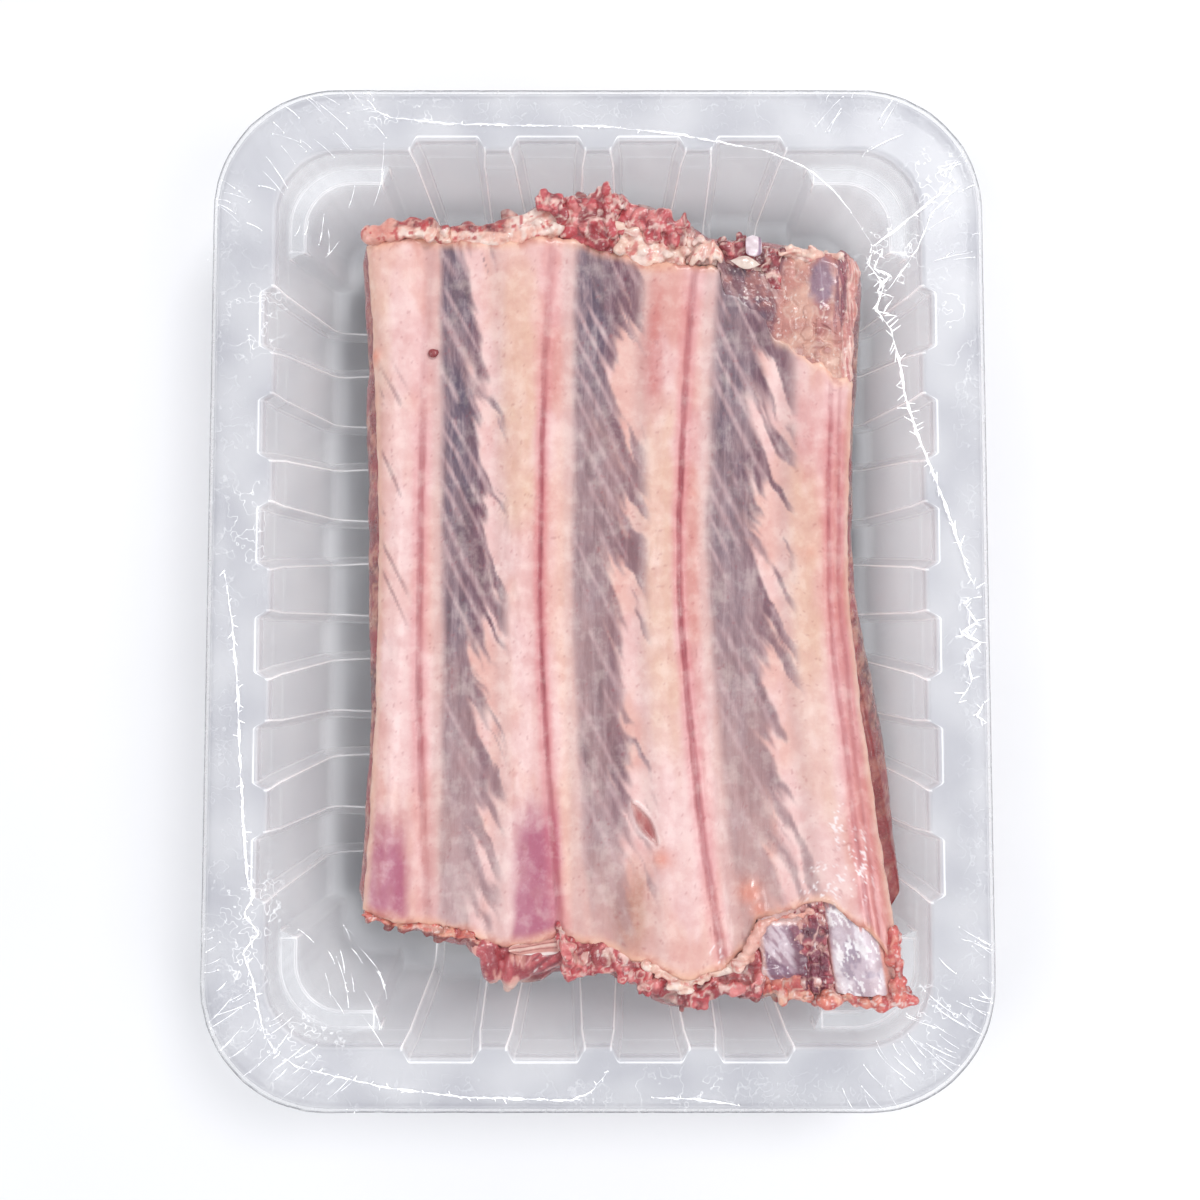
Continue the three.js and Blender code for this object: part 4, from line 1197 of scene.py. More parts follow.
def lip_shade(points, tint):
    """A dark red fringe along the outside of the fat at the left, and a few red dots on it."""
    x, y, s = points[:, 0], points[:, 1], across(points)
    turned = points + 2.4 * (cloud3(points, 1.3, 219, 2)[:, None] - 0.5) * (1.0, -1.0, 0.5)
    out = y - along(SKIN_TOP, s) + 4.5 * (cloud3(turned, 2.2, 209, 2) - 0.5)
    ragged = s + 0.09 * (cloud3(turned, 3.0, 223, 2) - 0.5)
    dark = smooth(2.2, 2.9, out) * (1 - smooth(0.27, 0.31, ragged)) * smooth(0.05, 0.08, ragged)
    dark = dark * (0.45 + 0.55 * smooth(0.42, 0.5, cloud3(turned, 1.1, 225, 2)))
    return over(tint, ((158, 30, 42), dark * 0.9),
                ((96, 8, 18), dark * smooth(0.52, 0.6, cloud3(turned, 1.5, 227, 2)) * 0.8),
                ((196, 40, 48), smooth(0.7, 0.75, cloud(x / 1.6, y / 1.6, 211, 2)) * 0.8))


def build_top_end():
    mass, opened = partial(end_mass, "top"), partial(open_mass, "top")
    knuckle = lumps((
        (0.022, 110.6, 0.2, (4.2, 3.6, 3.0), 0.1), (0.06, 111.8, 0.6, (4.6, 4.2, 3.0), 0.0),
        (0.1, 112.4, 0.9, (4.0, 4.0, 2.8), 0.2), (0.136, 111.6, 1.1, (3.4, 4.2, 2.6), -0.1),
        (0.03, 110.0, -4.0, (5.0, 4.0, 4.0), 0.0), (0.1, 111.4, -4.0, (6.0, 4.0, 4.0), 0.0),
    ))
    mass("cartilage", "cartilage_lump", "fat", "fat", (0.125, 0.175, 0.0, 0.9), 0.4, 1.0,
         None, cell=5.0, depth=0.8, extra=knuckle, shade=knuckle_shade)
    mass("fat_lip", "fat_lip_top", "fat", "fat", (0.168, 0.392, 0.0, 0.84), 1.0, 1.4,
         (14, (1.6, 2.6), 7, 1.4), cell=(11.0, 4.2, 5.0), depth=0.7, shade=lip_shade)
    spill = lumps((s, y, 0.0, (2.6, 3.0, 2.2), turn) for s, y, turn in (
        (0.386, 121.0, 0.3), (0.376, 119.4, -0.4), (0.366, 121.6, 0.2), (0.392, 116.6, 0.5),
        (0.355, 119.6, 0.0),
    ))
    mass("crumbled_meat_left", "trim_meat_top_left", "red_meat", "red", (0.385, 0.512, 0.0, 0.95),
         1.4, 1.2, (34, (1.5, 2.8), 9, 0.0, 0.9), 0.48, 4.6, 1.3, extra=spill)
    mass("fat_band", "fat_strip_top", "fat", "fat", (0.505, 0.648, 0.0, 0.48), 1.2, 0.8,
         (18, (1.4, 2.4), 11, 1.3), cell=(7.0, 3.2, 3.8), depth=0.9)
    mass("crumbled_meat_right", "trim_meat_top_right", "red_meat", "red", (0.505, 0.65, 0.4, 0.92),
         1.4, 0.9, (32, (1.5, 2.8), 13, 0.0, 0.7), 0.48, 4.6, 1.3)
    curls = lumps((
        (0.664, 104.4, 0.6, (1.5, 4.2, 1.4), -0.55, 0.1), (0.68, 105.4, 0.6, (1.3, 4.2, 1.3), -0.3, -0.1),
        (0.694, 105.4, 0.6, (1.4, 4.0, 1.4), -0.1, 0.1), (0.708, 104.6, 0.6, (1.3, 3.6, 1.3), 0.3, 0.0),
    ))
    mass("fat_curls", "fat_curl", "fat", "fat", (0.64, 0.712, 0.1, 0.7), 1.4, 0.6,
         (5, (1.0, 1.6), 15), 0.42, (3.0, 7.0, 4.0), 0.4, extra=curls)
    opened("dark_muscle_torn", "torn_muscle_top", "muscle", corner_paint, (0.706, 0.846, 0.0, 0.56),
           0.35, 0.5, 3.0, 0.0)
    mass("corner_crumbs", "trim_meat_corner", "red_meat", "dark", (0.712, 0.84, 0.5, 0.92), 0.9, 0.8,
         (22, (1.2, 2.2), 19, 0.0, 0.5), 0.46, 3.6, 1.0)
    opened("tan_fat_torn", "torn_fat_top", "tan_fat", corner_paint, (0.834, 0.894, 0.0, 0.9), 0.4, 0.6, 4.0,
           0.2)
    opened("flap_torn", "torn_flap_top", "tan_fat", corner_paint, (0.884, 0.965, 0.0, 0.42), 0.4, 0.9, 3.0,
           0.1)
    opened("grey_muscle_upper", "grey_muscle_top", "grey_muscle", corner_paint, (0.884, 0.962, 0.36, 0.92),
           0.32, 0.4, 5.0, 0.15)
    mass("fat_rim_upper", "fat_rim_top", "fat", "fat", (0.835, 0.965, 0.84, 0.96), 0.5, 0.4,
         (20, (1.0, 1.6), 25, 1.5), 0.44, (7.0, 3.0, 3.4), 0.6)
    opened("meat_edge_upper", "meat_edge_top", "tan_fat", corner_paint, (0.952, 0.995, 0.0, 0.98), 0.9, 1.0,
           2.0)
    build_chip()
    build_sinew()


def sliver(x, y, z, wide, long, thick, turn, point):
    """A thin flat piece: an oval with pointed ends, or nearly square ones where point is large."""
    def surface(u, v, upper):
        a, b = 2 * u - 1, 2 * v - 1
        half = np.maximum(1 - np.abs(b) ** point, 0.02)
        px, py = a * half * wide, b * long
        side = 1 if upper else -1
        rise = side * thick * (1 - 0.75 * a**2) * (0.35 + 0.65 * half) + 0.25 * np.sin(b * 4 + a)
        c, s = math.cos(turn), math.sin(turn)
        return x + px * c - py * s, y + px * s + py * c, z + rise
    return pillow(surface, 20, 36, 1, 0.05)


def build_chip():
    """A thin white chip of bone lying on the torn corner."""
    points, faces = sliver(*at(0.761, 101.9, 1.4), 2.0, 4.8, 0.6, math.radians(82), 1.7)
    points = swell(points, faces, 0.3 * (cloud3(points, 1.2, 141) - 0.5))
    line = 1 - np.abs(cloud(points[:, 0] / 9, points[:, 1] / 1.6, 145, 2) - 0.5) * 14
    tint = paint((250, 238, 226), ((232, 206, 190), cloud3(points, 1.6, 143)),
                 ((206, 120, 112), smooth(0.3, 0.9, line) * 0.6))
    make_piece("bone_chip", points, faces, "bone", tint)


def build_lens():
    """The second rib's sawn end, seen at a slant under the membrane's edge: pale and brown layers."""
    def surface(u, v, upper):
        s = mix(0.279, 0.374, u)
        top, low = along(SKIN_BOTTOM, s) + 0.5, -111.0 + 0.9 * (1 - u) ** 3
        half = (top - low) / 2 * np.sqrt(np.clip(1 - 0.85 * (2 * u - 1) ** 6, 0, 1))
        y = (top + low) / 2 + (2 * v - 1) * half
        z = rack_level(y) - 0.2 - 0.3 * (top - y) - (0.0 if upper else 0.9)
        return rack_x(s, y), y, z

    points, faces = pillow(surface, 64, 30, 1, 0.1)
    top = along(SKIN_BOTTOM, across(points)) + 0.5
    waver = cloud(points[:, 0] / 6, points[:, 1] / 3, 149) - 0.5
    layer = (points[:, 1] + 111.0) / (top + 111.0) + 0.22 * waver
    line = np.maximum(1 - np.abs(layer - 0.34) * 22, 1 - np.abs(layer - 0.62) * 20)
    middle = smooth(0.4, 0.46, layer) * (1 - smooth(0.54, 0.6, layer))
    tint = paint((224, 160, 148), ((244, 206, 192), middle),
                 ((150, 66, 62), np.clip(line, 0, 1) * 0.85), ((253, 240, 232), 1 - smooth(0.1, 0.17, layer)),
                 ((240, 200, 186), smooth(0.78, 0.86, layer) * 0.8))
    make_piece("rib_2_end", points, faces, "bone", tint)


def build_sinew():
    """A short flat stub of purple-white sinew in the torn corner."""
    points, faces = sliver(*at(0.776, 107.0, 1.0), 2.5, 3.4, 0.7, 0.06, 7.0)
    band = cloud(points[:, 0] / 0.8, points[:, 1] / 9, 147, 2)
    tint = paint((212, 184, 198), ((136, 104, 134), smooth(0.46, 0.6, band) * 0.85),
                 ((250, 238, 242), (1 - smooth(0.34, 0.44, band)) * 0.9))
    make_piece("sinew_stub", points, faces, "grey_muscle", tint)


def lobe_paint(points, seed):
    """Smooth wet lobes with pale edges at the left, and darker slanted flesh at the right. Lower down they go
    deep red, partly the deeper meat's colour and partly painted shade, and small painted highlights lie on
    them.
    """
    s = across(points)
    run, soft = streaks(points, 1.5, 12, -0.9, 213), streaks(points, 2.6, 9, 0.1, 215)
    right = smooth(0.296, 0.33, s)
    return paint((196, 82, 88), ((150, 30, 48), smooth(0.5, 0.6, cloud3(points, 4.0, seed)) * 0.7),
                 ((238, 172, 158), (1 - right) * smooth(0.47, 0.56, soft) * 0.9),
                 ((248, 208, 188), smooth(-118.0, -121.0, points[:, 1]) * 0.8),
                 ((134, 20, 40), right * smooth(0.42, 0.54, run) * 0.85),
                 ((232, 146, 142), right * smooth(0.58, 0.66, run) * 0.7),
                 (DEEP_RED, smooth(4.0, 9.0, rack_level(points[:, 1]) - points[:, 2]) * 0.5),
                 ((255, 244, 240), glints(points, seed + 2, 1.0) * 0.7))


def rim_shade(points, tint):
    """Dark red meat shows just beneath the orange rim of fat, and small painted highlights lie on it."""
    below = along(SKIN_BOTTOM, across(points)) - points[:, 1] + 2.4 * (cloud3(points, 1.8, 217) - 0.5)
    return over(tint, ((112, 16, 28), smooth(1.2, 2.0, below) * 0.85),
                ((255, 240, 230), glints(points, 218, 0.7) * 0.7))


def torn_edge_shade(points, tint):
    """The fat along the torn corner is pinker and more orange than the rest."""
    return over(tint, ((232, 150, 130), smooth(0.68, 0.72, across(points)) * 0.6))


def build_bottom_end():
    mass, opened = partial(end_mass, "bottom"), partial(open_mass, "bottom")
    mass("orange_rim", "fat_rim_bottom", "tan_fat", "rim", (0.0, 0.22, 0.0, 0.42), 1.3, 0.6,
         (34, (0.9, 1.7), 31, 1.4, 0.4), 0.44, (6.0, 2.6, 3.2), 0.9,
         shade=rim_shade)
    folds = lumps((
        (0.246, -114.6, -4.6, (3.6, 6.4, 3.4), 0.1, 0.25), (0.282, -116.4, -5.2, (3.4, 6.6, 3.2), -0.1, 0.25),
        (0.276, -121.2, -7.4, (1.8, 2.6, 1.8), -0.15, 0.2), (0.318, -113.6, -4.8, (3.6, 7.4, 3.4), -0.7, 0.1),
        (0.352, -112.8, -5.6, (3.4, 8.0, 3.2), -0.95, 0.1), (0.392, -111.6, -5.4, (3.2, 7.6, 3.2), -1.1, 0.1),
        (0.234, -109.2, -3.6, (4.6, 3.4, 2.8), 0.1, 0.0), (0.33, -111.0, -5.6, (13.0, 3.4, 3.2), -0.05, 0.0),
        (0.3, -115.5, -9.5, (11.0, 6.4, 4.0), -0.1, 0.0), (0.37, -114.0, -9.5, (10.0, 4.6, 4.0), 0.1, 0.0),
    ))
    mass("meat_lobe_soft", "meat_lobe", "red_meat", lobe_paint, (0.218, 0.43, 0.2, 0.5), 7.0, 1.0,
         None, 0.5, 6.0, 1.2, extra=folds)
    spill = lumps((s, y, 0.7, (size, size * 1.2, size), 0.2) for s, y, size in (
        (0.372, -102.6, 1.7), (0.376, -104.6, 2.0), (0.38, -106.8, 2.2), (0.384, -108.8, 2.2),
        (0.39, -110.8, 2.4), (0.398, -107.6, 1.6),
    ))
    mass("blood_spot", "trim_meat_bottom_left", "red_meat", "red", (0.385, 0.535, -0.04, 0.86), 1.6, 0.8,
         (30, (1.2, 2.3), 35), 0.46, 4.2, 1.1, extra=spill)
    edge = lumps((s, y, up, (size, size * 1.3, size * 0.8), turn) for s, y, up, size, turn in (
        (0.695, -113.0, 0.4, 2.2, 0.9), (0.708, -111.2, 0.6, 2.0, 0.3), (0.718, -109.0, 0.5, 2.1, -0.2),
        (0.727, -106.6, 0.6, 1.9, 0.4), (0.735, -104.4, 0.5, 2.0, -0.3), (0.744, -102.2, 0.6, 1.8, 0.2),
        (0.757, -100.8, 0.8, 1.2, 1.5), (0.773, -100.0, 0.8, 1.1, 1.4), (0.79, -99.2, 0.8, 1.0, 1.6),
        (0.806, -98.8, 0.9, 1.2, 1.4), (0.823, -98.4, 1.0, 1.1, 1.6), (0.84, -97.6, 1.0, 1.3, 1.3),
        (0.72, -111.0, -3.0, 2.6, 0.0), (0.735, -107.0, -3.0, 2.6, 0.0),
    ))
    mass("fat_edge_lower", "fat_edge_bottom", "fat", "fat", (0.525, 0.7, -0.02, 0.3), 0.9, 0.5,
         (26, (1.1, 1.9), 37, 1.4, 0.4), 0.44, (7.0, 2.8, 3.2), 0.7,
         extra=edge, shade=torn_edge_shade)
    mass("crumbled_meat_lower", "trim_meat_bottom_right", "red_meat", "red", (0.525, 0.75, 0.28, 0.9),
         2.6, 0.8, (46, (1.3, 2.6), 39), 0.48, 4.6, 1.3)
    opened("grey_muscle_lower", "grey_muscle_bottom", "grey_muscle", grey_bottom_paint,
           (0.742, 0.824, 0.0, 0.7), 0.5, 0.6, 3.4, 0.3)
    mass("meat_lip_lower", "trim_meat_lip", "red_meat", "rim", (0.735, 0.828, 0.64, 0.9), 2.4, 0.6,
         (18, (1.2, 2.2), 41), 0.46, 4.2, 1.1)
    opened("dark_meat_lower", "torn_meat_bottom", "meat", plum_paint, (0.808, 0.868, 0.0, 0.84),
           0.7, 1.6, 2.0, 0.5)
    build_lens()
    build_corner()


CORNER_LOBES = 34


def build_corner():
    """The orange fat and wet pink flesh round the lower end of the last rib, with small painted highlights.
    """
    rng = np.random.default_rng(45)
    shells = []
    for _ in range(CORNER_LOBES):
        s = rng.uniform(0.84, 1.0)
        y = -121.5 - 3.0 * rng.random() - 1.2 * smooth(0.84, 0.9, s) * (1 - smooth(0.93, 0.98, s))
        size = rng.uniform(1.3, 2.4)
        shells.append(lobe(at(s, y, rng.choice([-0.6, -2.5, -5.0])), (size * 1.6, size, size * 0.8),
                           rng.uniform(-0.4, 0.4)))
    for _ in range(CORNER_LOBES):
        y = rng.uniform(-123, -105)
        s = 0.972 + 0.024 * rng.random()
        size = rng.uniform(1.1, 2.2)
        shells.append(lobe(at(s, y, rng.choice([0.2, -1.5, -5.0])), (size, size * 1.6, size * 0.8),
                           rng.uniform(-0.4, 0.4)))
    points, faces = fused(shells, 0.48, 4)
    points, tint = folded(points, faces, (5.0, 3.6, 3.6), 1.0, "rim", 151)
    points = keep_in_tray(points, 0.5)
    red = smooth(0.955, 0.975, across(points)) * 0.55 + smooth(-122.5, -125.0, points[:, 1]) * 0.5
    tint = over(tint, ((222, 84, 84), np.clip(red, 0, 0.7)),
                ((255, 242, 234), glints(points, 153, 0.9, 0.57) * 0.7))
    make_piece("corner_fat", points, faces, "tan_fat", tint)


def build_scrap():
    """A small dark scrap of meat stuck on the membrane."""
    x, y = float(rack_x(0.128, 74.5)), 74.5
    z = float(skin_level(0.128, 74.5)) + 0.9
    points, faces = fused([lobe((x, y, z), (1.7, 1.5, 1.0)),
                           lobe((x + 1.0, y + 0.4, z - 0.1), (0.9, 0.9, 0.7))], 0.3, 2)
    tint = paint((120, 34, 38), (LEAN_RED, cloud3(points, 1.2, 161)))
    make_piece("meat_scrap_soft", points, faces, "meat", tint, "meat_scrap")


# The tray and the film
def side_places(half, pockets, arm, fine):
    """Places along one side: each with its pocket share, edge side, ledge share and how strongly a painted
    white highlight shows at its crease.

    A crease below 0 is an end of a ledge, which shows at the ledge alone."""
    count, pitch, width = pockets
    places = []
    for sign in (-1, 1):
        for beyond, share, crease in ((-0.2, 0.0, 0.0), (0.0, 0.0, -0.9), (0.2, 0.2, 0.0), (0.8, 0.8, 0.0),
                                      (1.0, 1.0, -0.9), (1.2, 1.0, 0.0)):
            places.append((sign * (arm + beyond * LEDGE_SLANT), 0.0, 0.0, share, crease))
    for n in range(count):
        middle = (n - (count - 1) / 2) * pitch
        for edge in (-1, 1):
            for k in range(-1, fine + 2):
                share = k / fine
                inside = float(smooth(0, 1, share))
                crease = {-1: 0.0, 0: 1.0, fine: 0.4, fine + 1: 0.0}.get(k, 0.2)
                places.append((middle + edge * (width / 2 - POCKET_CHAMFER * share), inside, edge, 0.0,
                               crease))
        places += [(middle + width * d, 1.0, 0.0, 0.0, 0.0) for d in (-0.2, 0.0, 0.2)]
    places += [(sign * (half - WALL_RADIUS * 0.9), 0.0, 0.0, 1.0, 0.0) for sign in (-1, 1)]
    return sorted(places)


def stations(corner_steps, fine):
    """All places round the pack: side number, place or corner angle, pocket, edge, ledge, crease."""
    result = []
    for turn in range(4):
        side = (WALL_X, SHORT_POCKETS, LEDGE_ARM_X) if turn % 2 else (WALL_Y, LONG_POCKETS, LEDGE_ARM_Y)
        result += [(turn, place, None, *rest) for place, *rest in side_places(*side, fine)]
        result += [(turn, 0.0, (k / corner_steps) * math.pi / 2, 0.0, 0.0, 1.0,
                    0.0) for k in range(corner_steps + 1)]
    return result


def ring(places, half_x, half_y, radius, z, depth=0.0, narrow=0.0, ledge=0.0, rib=0.0, **_marks):
    """One closed loop round the pack at one level."""
    points = []
    for turn, place, corner, pocket, edge, shelf, _crease in places:
        out, side = (half_x, half_y) if turn % 2 == 0 else (half_y, half_x)
        if corner is None:
            a = out - shelf * ledge + pocket * depth
            b = min(max(place - edge * narrow, radius + 0.2 - side), side - radius - 0.2)
        else:
            tight = max(radius - ledge, 2.0)
            a, b = out - radius + tight * math.cos(corner), side - radius + tight * math.sin(corner)
        c, s = ((1, 0), (0, 1), (-1, 0), (0, -1))[turn]
        points.append((a * c - b * s, a * s + b * c, z + rib * (1 - pocket)))
    return np.array(points)


def band_faces(count, rows, start=0, closed=False):
    """Faces between successive loops of the same number of points."""
    faces = []
    here = np.arange(count)
    for row in range(rows if closed else rows - 1):
        a, b = start + row * count, start + ((row + 1) % rows) * count
        faces.append(np.stack([a + here, a + np.roll(here, -1), b + np.roll(here, -1), b + here], axis=1))
    return np.concatenate(faces)


def tray_rows():
    """The tray's section from lip to floor: insets, heights, and how strongly the painted white highlights
    along its creases show at each row.

    up: how far the creases that run up the wall show; shelf: the corner ledge's own creases;
    round: creases that run all the way round; mouth: the pockets' upper edge."""
    rim = TRAY_HIGH[2]

    def edge(inset, z, **more):
        return dict(half_x=TRAY_HIGH[0] - inset, half_y=TRAY_HIGH[1] - inset, radius=EDGE_RADIUS - inset,
                    z=z, **more)

    def wall(inset, z, **more):
        return dict(half_x=WALL_X - inset, half_y=WALL_Y - inset, radius=WALL_RADIUS - inset * 0.3, z=z,
                    **more)

    deep = {"depth": POCKET_DEPTH}
    rows = [edge(0, rim - 3.4), edge(0.05, rim - 1.6), edge(0.3, rim - 0.8, round=0.3),
            edge(0.7, rim - 0.25), edge(1.3, rim)]
    rows += [edge(6, rim), wall(-6, rim), wall(-1.8, rim, **deep), wall(-1.3, rim, mouth=0.8, **deep),
             wall(-0.9, rim - 0.1, up=0.6, **deep), wall(-0.35, rim - 0.45, up=0.9, mouth=0.3, round=0.2,
                                                         **deep),
             wall(-0.05, rim - 1.1, up=1.0, **deep)]
    shelf = rim - LEDGE_DROP
    for k in range(1, 6):
        z = mix(rim - 1.1, shelf + 0.7, k / 5)
        rows.append(wall((rim - z) * WALL_LEAN, z, depth=POCKET_DEPTH, narrow=k / 5, up=1.0))
    foot = (rim - shelf) * WALL_LEAN
    flat = dict(narrow=1, up=1.0, arm=1.0, **deep)
    rows += [wall(foot, shelf + 0.35, ledge=0.3, shelf=0.7, **flat),
             wall(foot + 0.1, shelf + 0.1, ledge=0.7, **flat),
             wall(foot + 0.1, shelf, ledge=2.5, **flat), wall(foot + 0.1, shelf - 0.1,
                                                              ledge=LEDGE_INSET - 0.8, **flat),
             wall(foot + 0.1, shelf - 0.35, ledge=LEDGE_INSET - 0.25, shelf=0.8, **flat),
             wall(foot + 0.2, shelf - 0.9, ledge=LEDGE_INSET, **flat)]
    for k in range(1, 7):
        z = mix(shelf - 0.9, FOOT, k / 6)
        rows.append(wall((rim - z) * WALL_LEAN, z, depth=mix(POCKET_DEPTH, 2.7, k / 6),
                         narrow=1 + 1.2 * k / 6,
                         ledge=LEDGE_INSET, up=0.9))
    start = (rim - FOOT) * WALL_LEAN
    for k in range(1, 8):
        angle = (k / 7) * math.pi / 2
        rows.append(wall(start + FILLET * (1 - math.cos(angle)) * 0.72, FOOT - FILLET * math.sin(angle),
                         depth=2.7 - 0.9 * k / 7, narrow=2.2 + 0.4 * k / 7, rib=0.75 * (k / 7) ** 2,
                         ledge=LEDGE_INSET, up=0.9))
    for inset, depth, narrow, rib, ledge, up in (
        (15, 1.8, 2.8, 0.75, 0.8, 0.9), (21, 1.6, 3.0, 0.75, 0.5, 0.9), (28, 1.4, 3.2, 0.7, 0.0, 0.85),
        (36, 1.2, 3.4, 0.5, 0.0, 0.6), (42, 1.0, 3.6, 0.2, 0.0, 0.2), (45, 0.0, 0.0, 0.0, 0.0, 0.0),
    ):
        rows.append(wall(inset, FLOOR, depth=depth, narrow=narrow, rib=rib, ledge=LEDGE_INSET * ledge, up=up))
    return rows


def tray_marks(places, rows):
    """How strongly the painted white highlight at each point's crease shows, loop by loop."""
    pocket, ledge, crease = (np.array([place[k] for place in places]) for k in (3, 5, 6))
    kinds = (("up", np.maximum(crease, 0)), ("arm", np.maximum(-crease, 0)), ("shelf", ledge),
             ("mouth", pocket),
             ("round", 1.0))
    return [np.maximum.reduce([share * row.get(kind, 0.0) + 0 * crease for kind,
                               share in kinds]) for row in rows]


def shell(places, rows, thick):
    """A sheet with two faces from its upper rows, closed at the lip and at the middle of the floor."""
    upper = [ring(places, **row) for row in rows]
    profile = np.array([(row["half_x"], row["z"]) for row in rows])
    run = np.gradient(profile, axis=0)
    normal = np.stack([-run[:, 1], run[:, 0]], axis=1)
    normal /= np.linalg.norm(normal, axis=1, keepdims=True)
    lower = []
    for row, (nx, nz) in zip(rows, normal):
        under = dict(row)
        under["half_x"] += nx * thick
        under["half_y"] += nx * thick
        under["radius"] += nx * thick
        under["z"] += nz * thick
        lower.append(ring(places, **under))
    loops = upper[::-1] + lower
    count = len(places)
    points = np.concatenate(loops)
    faces = band_faces(count, len(loops))[:, ::-1]
    total = len(points)
    points = np.concatenate([points, [[0, 0, rows[-1]["z"]], [0, 0, lower[-1][0, 2]]]])
    here = np.arange(count)
    first, last = here, here + total - count
    caps = [np.stack([first, np.roll(first, -1), np.full(count, total), np.full(count, total)], axis=1),
            np.stack([np.roll(last, -1), last, np.full(count, total + 1), np.full(count, total + 1)], axis=1)]
    return points, faces, np.concatenate(caps)[:, :3]


def build_tray(settings):
    places, rows = stations(14, 5), tray_rows()
    points, quads, caps = shell(places, rows, settings.tray_sheet / MM)
    shown = tray_marks(places, rows)
    shown = np.concatenate(shown[::-1] + shown + [np.zeros(2)])
    x, y = points[:, 0], points[:, 1]
    shown = shown * (0.55 + 0.9 * (cloud(x / 9, y / 9, 165) - 0.2))
    rim = smooth(TRAY_HIGH[2] - 2.5, TRAY_HIGH[2] - 0.6, points[:, 2])
    # The red mark paints white highlight lines along the creases; the green one makes the rim less clear.
    marks = np.stack([np.clip(shown, 0, 1), rim, shown * 0], axis=1)
    tint = tuple(255 * c for c in settings.tray_colour)
    look = clear_look("clear tray", tint, flat=0.11, edge=0.6, rough=0.12, gloss=0.16, haze=0.46)
    make_piece("clear_tray", points, quads.tolist() + caps.tolist(), "clear_plastic", None, "tray", look,
               marks)


def film_rows():
    """The film's section: from the middle of the mouth, round the edge and in under the base."""
    top, edge = FILM_HIGH[2] - 0.1, FILM_HIGH[0]
    long = FILM_HIGH[1]
    rows = []
    for share in np.linspace(0.06, 0.94, 22):
        rows.append(dict(half_x=edge * share, half_y=long * share, radius=EDGE_RADIUS * share, z=top))
    for drop_in, drop in ((1.6, 0.02), (0.8, 0.15), (0.25, 0.5), (0.0, 1.1), (0.0, 2.4), (0.05, 3.9)):
        rows.append(dict(half_x=edge - drop_in, half_y=long - drop_in, radius=EDGE_RADIUS - drop_in,
                         z=top - drop))
    foot_x, foot_y = WALL_X - 1.0, WALL_Y - 1.0
    for k in range(1, 9):
        share = k / 8
        rows.append(dict(half_x=mix(edge, foot_x, share), half_y=mix(long, foot_y, share),
                         radius=mix(EDGE_RADIUS, 22, share), z=mix(top - 3.9, 8.1, share)))
    for inset, z in ((1.2, 5.6), (3.0, 3.2), (5.2, 1.5), (7.6, 0.5), (10.5, 0.15)):
        rows.append(dict(half_x=foot_x - inset, half_y=foot_y - inset, radius=21 - inset * 0.4, z=z))
    for share in (0.8, 0.6, 0.4, 0.2):
        rows.append(dict(half_x=88 * share, half_y=124 * share, radius=16 * share, z=0.12))
    return rows


FOLD_X, FOLD_Y = 62.0, 98.0  # where the folds of the first corner fan out from
FILM_SIDE = 40  # above this height the film is its top and its rim
CRUMPLES = (  # where the film is crumpled, with painted white highlights on its crinkles: x, y and half sizes
    (-105, 84, 13, 26), (-107, 20, 9, 40), (-104, -100, 14, 34), (-92, -134, 26, 14), (-60, 147, 26, 8),
    (92, 104, 16, 22), (112, -10, 8, 24), (104, 128, 12, 16), (20, -150, 60, 7), (110, 80, 9, 30),
    (100, -128, 16, 18),
)


def film_relief(points):
    """Wrinkles of the film, drawn out from the corners, a mark where they are sharp, and where the film is
    crumpled. The film's look paints both marks as white highlights.
    """
    x, y, z = points.T
    heights, sharp = np.zeros(len(points)), np.zeros(len(points))
    for number, (cx, cy) in enumerate(((1, 1), (-1, 1), (-1, -1), (1, -1))):
        dx, dy = (x - cx * FOLD_X) * cx, (y - cy * FOLD_Y) * cy
        reach = np.hypot(dx, dy)
        angle = np.arctan2(dy, dx)
        near = smooth(30, 58, reach) * smooth(-0.35, 0.1, angle) * (1 - smooth(1.47, 1.9, angle))
        folds = cloud(angle * 26 + number * 7, reach / 30, 171 + number, 3)
        heights = heights + near * 0.7 * (folds - 0.5)
        sharp = np.maximum(sharp, near * smooth(0.56, 0.66, folds))
    rimward = smooth(0.86, 0.95, np.maximum(np.abs(x) / FILM_HIGH[0], np.abs(y) / FILM_HIGH[1]))
    ripples = cloud((x + y) / 7.0, (x - y) / 2.4, 181, 3)
    heights = heights + rimward * 0.35 * (ripples - 0.5)
    sharp = np.maximum(sharp, rimward * smooth(0.6, 0.7, ripples) * 0.6)
    down = 1 - smooth(10, 46, z)
    crumple_glints = np.zeros(len(points))
    for cx, cy, half_x, half_y in CRUMPLES:
        crumple_glints = np.maximum(crumple_glints, 1 - smooth(0.4, 1.0, np.hypot((x - cx) / half_x, (y - cy) / half_y)))
    return heights * (1 - 0.4 * down), sharp * 0.5, np.maximum(crumple_glints, 0.35 * rimward) * (z > FILM_SIDE)


